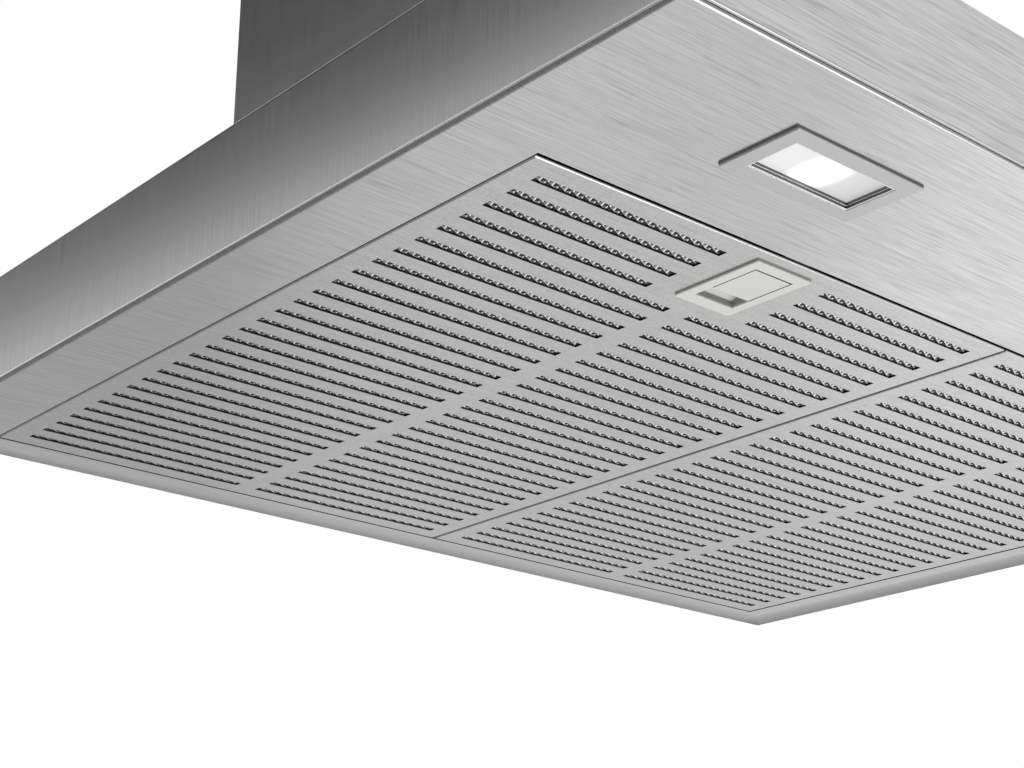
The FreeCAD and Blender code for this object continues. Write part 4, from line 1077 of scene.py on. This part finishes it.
    def build_spring(self) -> None:
        """Wind the latch's return spring."""
        low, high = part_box(self.named("latch_spring"))
        middle = (low + high) / 2
        mesh = bmesh.new()
        sides = self.wire_sides
        ring = bmesh.ops.create_circle(mesh, segments=sides, radius=self.wire)["verts"]
        bmesh.ops.translate(mesh, vec=(self.coil_radius, 0, 0), verts=ring)
        length = high.y - low.y - 2 * self.wire
        steps = self.turn_steps * self.turns
        bmesh.ops.spin(
            mesh,
            geom=mesh.edges[:],
            cent=(0, 0, 0),
            axis=(0, 1, 0),
            dvec=(0, length / steps, 0),
            angle=2 * math.pi * self.turns,
            steps=steps,
            use_merge=False,
        )
        bmesh.ops.holes_fill(mesh, edges=[e for e in mesh.edges if e.is_boundary], sides=sides)
        face_out(mesh)
        place = Vector((middle.x, low.y + self.wire, middle.z))
        shift_all(mesh, place)
        made = piece(self.named("coil_spring"), mesh, self.finishes["spring_steel"])
        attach(made, self.named("filter"))
        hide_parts(self.named("latch_spring"))
        f"{self.named('latch')}_slide"
        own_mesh(made)

    def finish(self) -> None:
        """Build this filter's pieces and dress its solids."""
        self.dress("filter_steel", self.named("filter_tray"))
        self.dress("frame_aluminium", self.named("filter_back"))
        self.dress("latch_plastic", self.named("latch_bezel"))
        self.dress("slider_plastic", self.named("latch_slider"))
        self.build_mesh()
        self.build_core()
        self.build_spring()


@dataclass
class Lamp(SidedAssembly):
    """One lamp in the pan: bezel, frosted lens, housing and light board."""

    rim_steps: Span = (0.0008, 0.0006)
    rim_heights: Span = (0.0022, 0.0013)
    rim_round: float = 0.0001
    rim_sharp: float = 1.0
    rim_wall: float = 0.3
    rim_sink: float = 0.00002
    opening: Span = (0.0516, 0.0216)
    seal_proud: float = 0.00012
    seal_height: float = 0.00055
    seal_width: float = 0.0022
    seal_round: float = 0.0005

    @staticmethod
    def plate(mesh: Mesh, width: float, depth: float) -> list[Face]:
        """Start a level plate about the origin.

        Args:
            mesh: The empty bmesh.
            width: The plate's size along X.
            depth: The plate's size along Y.

        Returns:
            The plate's face, in a list.
        """
        bmesh.ops.create_grid(mesh, x_segments=1, y_segments=1, size=0.5)
        bmesh.ops.scale(mesh, vec=(width, depth, 1.0), verts=mesh.verts[:])
        return mesh.faces[:]

    def build_rim(self) -> None:
        """Form the stepped trim that runs round the lens, with a painted highlight on its level
        faces and painted shade on its walls.
        """
        low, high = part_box(self.named("lamp_lens"))
        middle = (low + high) / 2
        mesh = bmesh.new()
        plate = self.plate(mesh, *self.opening)
        rings = [inset(mesh, plate, step) for step in self.rim_steps]
        bmesh.ops.delete(mesh, geom=plate, context="FACES")
        for ring, height in zip(rings, self.rim_heights):
            thicken(mesh, ring, -height, True)
        sharp = [e for e in mesh.edges if e.is_manifold and e.calc_face_angle(0.0) > self.rim_sharp]
        bevel(mesh, sharp, self.rim_round, 2)
        face_out(mesh)
        place = (middle.x, middle.y, low.z - self.rim_sink)
        shift_all(mesh, place)
        # Level faces take the painted highlight, walls the painted shade.
        for face in mesh.faces:
            face.material_index = int(abs(face.normal.z) < self.rim_wall)
        looks = [self.finishes[name] for name in ("trim_painted_highlight", "trim_painted_shade")]
        made = piece(self.named("lens_rim"), mesh, *looks)
        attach(made, "hood")

    def build_shade_seal(self) -> None:
        """Lay a dark seal between the bezel and the pan, as painted shade along the bezel's outer
        walls.
        """
        low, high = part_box(self.named("lamp_bezel"))
        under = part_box("bottom_pan")[0].z
        mesh = bmesh.new()
        size = (high - low) + Vector((1, 1, 0)) * 2 * self.seal_proud
        plate = self.plate(mesh, size.x, size.y)
        inset(mesh, plate, self.seal_width)
        bmesh.ops.delete(mesh, geom=plate, context="FACES")
        thicken(mesh, mesh.faces[:], -self.seal_height, True)
        upright = [
            edge
            for edge in mesh.edges
            if abs(edge.verts[0].co.z - edge.verts[1].co.z) > self.seal_height / 2
        ]
        bevel(mesh, upright, self.seal_round, 3)
        face_out(mesh)
        middle = (low + high) / 2
        shift_all(mesh, (middle.x, middle.y, under))
        made = piece(self.named("lamp_shade_seal"), mesh, self.finishes["seal_painted_shade"])
        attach(made, "hood")

    def finish(self) -> None:
        """Build this lamp's pieces and dress its solids."""
        low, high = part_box(self.named("lamp_lens"))
        middle = (low + high) / 2
        lens = FrostedLens(self.named("lamp_glass"), (middle.x, middle.y, low.z))
        self.finishes[lens.name] = lens.make()
        self.dress(lens.name, self.named("lamp_lens"))
        self.dress("lamp_trim", self.named("lamp_bezel"))
        self.dress("lamp_housing", self.named("lamp_housing"))
        self.dress("light_board", self.named("led_board"))
        self.build_rim()
        self.build_shade_seal()


@dataclass
class Canopy(Assembly):
    """The canopy: folded shell, front fascia and bottom pan."""

    def finish(self) -> None:
        """Dress the canopy's solids."""
        self.dress("brushed_steel_body", "canopy_shell")
        self.dress("pan_steel", "bottom_pan")
        self.dress("fascia_steel", "front_fascia")


@dataclass
class ControlRow(Assembly):
    """The push buttons, the marks printed over them, and the parts behind the fascia."""

    mark: float = 0.0030
    line: float = 0.00055
    gap: float = 0.0034
    ink: float = 0.00004
    rings: Span = (0.28, 0.5)
    ring_steps: int = 28
    rays: int = 8
    ray_half: Span = (0.4, 0.10)
    ray_reach: float = 0.52
    bar_pitch: float = 2.4

    def mark_mesh(self, symbol: Symbol) -> Mesh:
        """Draw one mark in the XZ plane about the origin.

        Args:
            symbol: Which mark.

        Returns:
            The bmesh of a thin print.
        """
        mesh = bmesh.new()
        half = Vector((self.line / 2, self.ink / 2, self.mark / 2))
        if symbol in (Symbol.LIGHT, Symbol.OFF):
            self.add_ring(mesh, self.mark * self.rings[symbol is Symbol.OFF])
        if symbol is Symbol.LIGHT:
            for number in range(self.rays):
                wide, tall = self.ray_half
                ray = Vector((self.line * wide, self.ink / 2, self.mark * tall))
                verts = add_block(mesh, -ray, ray)
                bmesh.ops.translate(mesh, vec=(0, 0, self.mark * self.ray_reach), verts=verts)
                turn = Matrix.Rotation(number * 2 * math.pi / self.rays, 3, "Y")
                bmesh.ops.rotate(mesh, cent=(0, 0, 0), matrix=turn, verts=verts)
        bars = {Symbol.LOW: 1, Symbol.MEDIUM: 2, Symbol.HIGH: 3}.get(symbol, 0)
        for number in range(bars):
            shift = Vector(((number - (bars - 1) / 2) * self.bar_pitch * self.line, 0, 0))
            add_block(mesh, shift - half, shift + half)
        return mesh

    def add_ring(self, mesh: Mesh, outer: float) -> None:
        """Add a flat printed ring about the origin.

        Args:
            mesh: The empty bmesh.
            outer: The ring's outer radius.
        """
        disc = bmesh.ops.create_circle(
            mesh, cap_ends=True, segments=self.ring_steps, radius=outer
        )["verts"]
        plate = [face for face in mesh.faces if set(face.verts) == set(disc)]
        inset(mesh, plate, self.line)
        bmesh.ops.delete(mesh, geom=plate, context="FACES")
        thicken(mesh, mesh.faces[:], self.ink, False)
        turn = Matrix.Rotation(math.pi / 2, 3, "X")
        bmesh.ops.rotate(mesh, cent=(0, 0, 0), matrix=turn, verts=mesh.verts[:])
        face_out(mesh)

    def finish(self) -> None:
        """Print the marks and dress the control's solids."""
        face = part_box("front_fascia")[0].y
        for symbol in Symbol:
            low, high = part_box(f"button_{symbol.value}")
            place = Vector(((low.x + high.x) / 2, face, high.z + self.gap))
            mesh = self.mark_mesh(symbol)
            shift_all(mesh, place)
            made = piece(f"printed_mark_{symbol.value}", mesh, self.finishes["print_ink"])
            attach(made, "hood")
            self.dress("button_metal", f"button_{symbol.value}")
        self.dress("dark_plastic", "switch_block", "control_box", "cable_gland")


@dataclass
class Blower(Assembly):
    """The air box with its scroll, impeller, motor, outlet collar and flaps."""

    feet: Span = (0.122, 0.055)
    foot_middle: float = -0.121
    foot_top: float = 0.0532
    plate: Point = (0.060, -0.155, 0.158)
    screw_circle: float = 0.066
    plate_screws: int = 3

    def build_screws(self) -> None:
        """Set the screw heads of the feet and of the motor bracket."""
        head = ScrewHead()
        finish = self.finishes["screw_steel"]
        seats = [
            Vector((sign * self.feet[0], self.foot_middle + end * self.feet[1], self.foot_top))
            for sign in (-1, 1)
            for end in (-1, 1)
        ]
        made = head.build("air_box_screw_heads", seats, Vector((0, 0, 1)), finish)
        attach(made, "hood")
        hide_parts("air_box_screws")
        turns = [2 * math.pi * number / self.plate_screws for number in range(self.plate_screws)]
        seats = [
            Vector(self.plate)
            + Vector((0, -math.sin(turn), math.cos(turn))) * self.screw_circle
            for turn in turns
        ]
        made = head.build("bracket_screw_heads", seats, Vector((1, 0, 0)), finish)
        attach(made, "hood")
        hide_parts("bracket_screws")

    def finish(self) -> None:
        """Build the screws and dress the blower's solids."""
        self.dress("blower_plastic", "scroll_left", "scroll_right", "impeller")
        self.dress("blower_plastic", "outlet_collar", "flap_front", "flap_rear")
        self.dress("galvanised_steel", "air_box", "motor_bracket")
        self.dress("motor_paint", "motor")
        self.dress("shaft_steel", "motor_shaft", "flap_rods")
        self.dress("capacitor_can", "capacitor")
        self.build_screws()


@dataclass
class Chimney(Assembly):
    """The two telescoping chimney covers and their ceiling bracket."""

    def finish(self) -> None:
        """Build the screws and dress the chimney's solids."""
        self.dress("chimney_steel", "chimney_lower", "chimney_upper")
        self.dress("galvanised_steel", "ceiling_bracket")
        low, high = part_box("chimney_screws")
        head = ScrewHead()
        finish = self.finishes["screw_steel"]
        for side in Side:
            edge = low.x if side is Side.LEFT else high.x
            seat = Vector((edge, (low.y + high.y) / 2, (low.z + high.z) / 2))
            seat.x -= side.value * head.height
            name = f"chimney_screw_{side.label()}"
            made = head.build(name, [seat], Vector((side.value, 0, 0)), finish)
            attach(made, "upper_chimney")
            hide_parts("chimney_screws")


@dataclass(frozen=True)
class SoftLight:
    """A soft square light, with its edge in metres and its power in watts."""

    name: str
    place: Point
    aim: Point
    size: float
    power: float

    def hang(self) -> None:
        """Add the light to the scene, facing its aim."""
        data = bpy.data.lights.new(self.name, "AREA")
        data.shape = "SQUARE"
        data.size = self.size
        data.energy = self.power
        light = bpy.data.objects.new(self.name, data)
        bpy.context.scene.collection.objects.link(light)
        light.location = self.place
        way = Vector(self.aim) - Vector(self.place)
        light.rotation_euler = way.to_track_quat("-Z", "Y").to_euler()


@dataclass
class Studio:
    """Floor, mirrored screens, lights and the camera."""

    floor_level: float = -0.95
    floor_half: float = 9.0
    floor_colour: Colour = (0.86, 0.86, 0.86)
    floor_cloud: float = 3.0
    floor_tones: Span = (0.98, 1.0)
    floor_roughness: float = 0.8
    even_light: float = 0.60
    ground_tones: tuple[float, ...] = (0.45, 0.77, 1.10, 0.30)
    ground_spans: tuple[Span, ...] = ((0.46, 0.57), (0.69, 0.77), (0.30, 0.10))
    far_tone: float = 0.67
    near_span: Span = (-0.28, -0.33)
    horizon: float = 0.36
    horizon_span: Span = (-0.22, 0.0)
    skyline: Span = (-0.04, 0.06)
    screen_tones: Span = (0.94, 0.045)
    screen_span: Span = (0.868, 0.942)
    screen_bend: tuple[Span, Span] = ((0.38, 0.62), (0.0, 0.05))
    screen_side: Span = (0.27, 0.34)
    screen_top: Span = (0.68, 0.58)
    screen_rear: Span = (-0.2, 0.1)
    least_left: float = 0.02
    sky_tone: float = 0.86
    key: SoftLight = SoftLight("key", (-0.6, -2.6, 2.4), (0.0, -0.2, 0.2), 1.6, 14.0)
    fill: SoftLight = SoftLight("low_fill", (0.1, -0.45, -0.90), (0.0, -0.25, 0.0), 1.0, 5.5)
    eye: Point = (-0.6291, -0.8038, -0.2845)
    yaw: float = math.radians(41.449)
    pitch: float = math.radians(20.594)
    roll: float = math.radians(0.090)
    lens: float = 65.10
    sensor: float = 36.0
    nearest: float = 0.01

    def set_camera(self) -> None:
        """Put the camera where the photograph was taken from."""
        data = bpy.data.cameras.new("camera")
        data.lens = self.lens
        data.sensor_width = self.sensor
        data.sensor_fit = "HORIZONTAL"
        data.clip_start = self.nearest
        camera = bpy.data.objects.new("camera", data)
        bpy.context.scene.collection.objects.link(camera)
        ahead = Vector(
            (
                math.sin(self.yaw) * math.cos(self.pitch),
                math.cos(self.yaw) * math.cos(self.pitch),
                math.sin(self.pitch),
            )
        )
        camera.rotation_mode = "QUATERNION"
        camera.rotation_quaternion = Quaternion(ahead, self.roll) @ ahead.to_track_quat("-Z", "Y")
        camera.location = self.eye
        bpy.context.scene.camera = camera

    def lay_floor(self) -> None:
        """Lay the pale floor."""
        mesh = bmesh.new()
        bmesh.ops.create_grid(mesh, x_segments=1, y_segments=1, size=self.floor_half)
        shift_all(mesh, (0, 0, self.floor_level))
        recipe = Recipe("pale_floor")
        tone = recipe.cloud(self.floor_cloud, 3.0)
        recipe.tint(tone, self.floor_colour, self.floor_tones)
        recipe.fix(Roughness=self.floor_roughness)
        floor = piece("floor", mesh, recipe.material)
        floor.visible_glossy = False

    def set_world(self) -> None:
        """Fill the world with light.

        It is even on dull faces, white behind the hood, and toned as a studio with darker
        screens at its left rear and along its horizon where steel mirrors it.
        """
        world = bpy.data.worlds.new("studio")
        bpy.context.scene.world = world
        world.use_nodes = True
        world.cycles.sampling_method = "NONE"
        tree = NodeTree(world.node_tree)
        back = world.node_tree.nodes["Background"]
        back.inputs["Color"].default_value = (1.0, 1.0, 1.0, 1.0)
        path = tree.node("LightPath").outputs
        plain = tree.math("MAXIMUM", path["Is Camera Ray"], path["Is Transmission Ray"])
        soft = tree.mix(path["Is Glossy Ray"], self.even_light, self.screens(tree))
        tree.join(tree.mix(plain, soft, 1.0), back.inputs["Strength"])

    def screens(self, tree: NodeTree) -> Socket:
        """Give the studio's tone in each direction, as polished steel mirrors it.

        Args:
            tree: The world's node tree.

        Returns:
            The strength of the light.
        """
        x, y, z = tree.split(tree.node("TexCoord").outputs["Generated"])
        ground, *tones = self.ground_tones
        for span, tone in zip(self.ground_spans, tones):
            ground = tree.mix(tree.ease(x, span), ground, tone)
        ground = tree.mix(tree.ease(z, self.near_span), self.far_tone, ground)
        dusk = tree.spread(z, self.horizon_span, (1.0, self.horizon))
        ground = tree.math("MULTIPLY", ground, dusk)
        left = tree.math("MAXIMUM", tree.math("MULTIPLY", x, -1.0), self.least_left)
        slant = tree.math("DIVIDE", z, left)
        slant = tree.math("ADD", slant, tree.spread(left, *self.screen_bend))
        screen = tree.spread(slant, self.screen_span, self.screen_tones, True)
        hung = tree.ease(left, self.screen_side)
        for part, span in ((z, self.screen_top), (y, self.screen_rear)):
            hung = tree.math("MULTIPLY", hung, tree.ease(part, span))
        sky = tree.mix(hung, self.sky_tone, screen)
        return tree.mix(tree.ease(z, self.skyline), ground, sky)

    def build(self) -> None:
        """Set up the whole studio."""
        bpy.context.scene.view_settings.view_transform = "Standard"
        self.set_camera()
        self.lay_floor()
        self.set_world()
        self.key.hang()
        self.fill.hang()


def make_steels() -> list[BrushedSteel]:
    """Describe the brushed sheets, with painted highlights and painted shade along their folds,
    bends, cut edges and borders.

    Returns:
        The finishes.
    """
    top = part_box("canopy_shell")[1].z
    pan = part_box("bottom_pan")[0].z
    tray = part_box("filter_tray_left")[0].z
    # Painted highlight: the shell's walls are lighter just above its bottom edge.
    painted_hem_highlight = PaintedLightFade(Axis.Z, (0.0003, 0.0008), (1.7, 1.0), Faces.WALLS)
    # Painted shade: the level faces at the shell's bottom edge are darker.
    edge = PaintedLightFade(Axis.Z, (0.0002, 0.0006), (0.55, 1.0), Faces.LEVEL)
    # Painted shade: the round of the shell's top fold is darkened over its reflection.
    painted_fold_shade = PaintedLightFade(Axis.Z, (top - 0.0021, top - 0.0019), (1.0, 0.12), Faces.WALLS, 0.90)
    # Painted shade: the fascia's bottom face is darker.
    painted_lip_shade = PaintedLightFade(Axis.Z, (0.0002, 0.0006), (0.85, 1.0), Faces.LEVEL)
    # Painted shade: the pan's bend is darker over its reflection.
    painted_bend_shade = PaintedLightFade(Axis.Z, (pan + 0.00015, pan + 0.0004), (1.0, 0.6))
    # Painted shade: the pan's right border darkens towards its outer edge.
    side = PaintedLightFade(Axis.X, (0.2745, 0.2990), (1.0, 0.42))
    # Painted shade: the filter tray is darker above its lower face, on the slot walls.
    rim = PaintedLightFade(Axis.Z, (tray + 0.0002, tray + 0.0006), (1.0, 0.3))
    roll = Border(0.2986, -0.001, 0.0225, right_slope=0.09, rear_slope=0.17)
    plain = {"roughness": 0.16, "contrast": 0.20, "relief": 0.008, "scratch": 0.03, "draw": 0.0}
    pressed = {"roughness": 0.20, "contrast": 0.26, "draw": 0.6}
    slotted = {"roughness": 0.24, "contrast": 0.24, "speckle": 0.4, "draw": 0.6}
    across = Grain.ACROSS
    return [
        BrushedSteel("brushed_steel_body", 0.60, Grain.FOLDED, fades=(painted_hem_highlight, edge, painted_fold_shade), **plain),
        BrushedSteel("chimney_steel", 0.72, Grain.UPRIGHT, **plain),
        BrushedSteel("pan_steel", 0.62, across, border=roll, fades=(painted_bend_shade, side), **pressed),
        BrushedSteel("fascia_steel", 0.63, across, roughness=0.26, contrast=0.30, fades=(painted_lip_shade,)),
        BrushedSteel("filter_steel", 0.60, across, fades=(rim,), **slotted),
        BrushedSteel("button_metal", 0.66, across, roughness=0.28),
    ]


def make_metals() -> list[PlainSurface]:
    """Describe the bare metals, with painted light and shade on the mesh facets, the bezel walls
    and the lens trim.

    Returns:
        The finishes.
    """
    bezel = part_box("lamp_bezel_left")[0].z
    # Painted light and shade: the bezel's walls are lighter near its face and darker higher up.
    painted_bezel_wall_light_and_shade = PaintedLightFade(Axis.Z, (bezel + 0.0005, bezel + 0.0009), (1.4, 0.45), Faces.WALLS)
    # Painted light: the falling facets grow lighter towards the right, in place of their changing
    # reflection.
    slant = PaintedLightFade(Axis.X, (-0.22, 0.16), (1.0, 4.4))
    # Painted shade: the bonds are darker towards the left.
    painted_bond_shade = PaintedLightFade(Axis.X, (-0.25, -0.08), (0.65, 1.0))
    return [
        # The strand's aluminium facets, painted as half shade, highlight and shade.
        PlainSurface("mesh_aluminium", (0.22, 0.22, 0.22), 0.26, metallic=0.4, fades=(slant,)),
        PlainSurface("mesh_bright", (0.78, 0.78, 0.78), 0.40, 0.04, fades=(painted_bond_shade,)),
        PlainSurface("mesh_shade", (0.03, 0.03, 0.03), 0.7, 0.3, 800.0, 0.2),
        PlainSurface("frame_aluminium", (0.66, 0.66, 0.66), 0.4),
        PlainSurface("spring_steel", (0.50, 0.50, 0.50), 0.3),
        PlainSurface("lamp_trim", (0.60, 0.60, 0.60), 0.45, 0.03, 900.0, fades=(painted_bezel_wall_light_and_shade,)),
        # The lens trim's painted highlight and painted shade.
        PlainSurface("trim_painted_highlight", (0.95, 0.95, 0.95), 0.30, 0.03, 900.0),
        PlainSurface("trim_painted_shade", (0.16, 0.16, 0.16), 0.40, 0.03, 900.0),
        PlainSurface("motor_paint", (0.20, 0.20, 0.21), 0.5, 0.06, 1500.0, 0.3),
        PlainSurface("shaft_steel", (0.60, 0.60, 0.60), 0.22, 0.08, 2200.0),
        PlainSurface("screw_steel", (0.55, 0.55, 0.54), 0.3, 0.1, 1200.0),
    ]


def make_plastics() -> list[MouldedPlastic]:
    """Describe the mouldings, with painted shade on the latch's walls and on the slider's tongue
    over the gap.

    Returns:
        The finishes.
    """
    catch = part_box("latch_bezel_left")[0].z
    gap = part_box("filter_tray_left")[0].y
    # Painted shade: the latch bezel's walls darken with depth.
    painted_catch_wall_shade = PaintedLightFade(Axis.Z, (catch + 0.0002, catch + 0.0010), (0.95, 0.46), Faces.WALLS)
    # Painted shade: the slider's walls are darker.
    painted_slider_wall_shade = PaintedLightFade(Axis.Z, (catch, catch + 0.0010), (0.45, 0.30), Faces.WALLS)
    # Painted shade: the slider is near black where it crosses the gap at the tray's front.
    painted_tongue_shade = PaintedLightFade(Axis.Y, (gap - 0.0003, gap + 0.0003), (0.06, 1.0))
    return [
        MouldedPlastic("latch_plastic", (0.74, 0.745, 0.71), fades=(painted_catch_wall_shade,)),
        MouldedPlastic("slider_plastic", (0.73, 0.735, 0.70), fades=(painted_slider_wall_shade, painted_tongue_shade)),
        MouldedPlastic("lamp_housing", (0.75, 0.75, 0.73)),
        MouldedPlastic("dark_plastic", (0.05, 0.05, 0.052)),
        MouldedPlastic("blower_plastic", (0.07, 0.07, 0.075), 0.5, 1800.0, 0.08),
        MouldedPlastic("capacitor_can", (0.80, 0.80, 0.78), 0.4),
        MouldedPlastic("print_ink", (0.06, 0.06, 0.062), 0.6),
    ]


def make_finishes() -> dict[str, Material]:
    """Make every shared material.

    Returns:
        The materials by the name of the slot or trim that they finish.
    """
    board = {"metallic": 0.0, "detail": 2.0, "sway": 0.075, "relief": 0.0}
    seal_shade_finish = {"metallic": 0.0, "detail": 2.0, "sway": 0.0, "gloss": 0.08, "relief": 0.2}
    made = make_steels() + make_metals() + make_plastics()
    made += [
        ZincSheet("galvanised_steel", (0.52, 0.54, 0.55)),
        PlainSurface("light_board", (0.8245, 0.8245, 0.7954), 0.325, 0.0309, 700.0, **board),
        # The seal's dark tone is painted shade.
        PlainSurface("seal_painted_shade", (0.21, 0.21, 0.21), 0.95, 1 / 3, 4000.0, **seal_shade_finish),
        ExpandedMetal("mesh_layers", 0.72),
    ]
    return {finish.name: finish.make() for finish in made}


def main() -> None:
    """Load the solids, build and dress every sub-assembly, and set up the studio."""
    logging.basicConfig(level=logging.INFO, format="%(name)s: %(message)s")
    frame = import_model()
    stock = (frame["nodes"], make_finishes())
    parts = [kind(*stock) for kind in (Canopy, ControlRow, Blower, Chimney)]
    parts += [GreaseFilter(*stock, side) for side in Side]
    parts += [Lamp(*stock, side) for side in Side]
    for part in parts:
        part.finish()
    Studio().build()


if __name__ == "__main__":
    main()
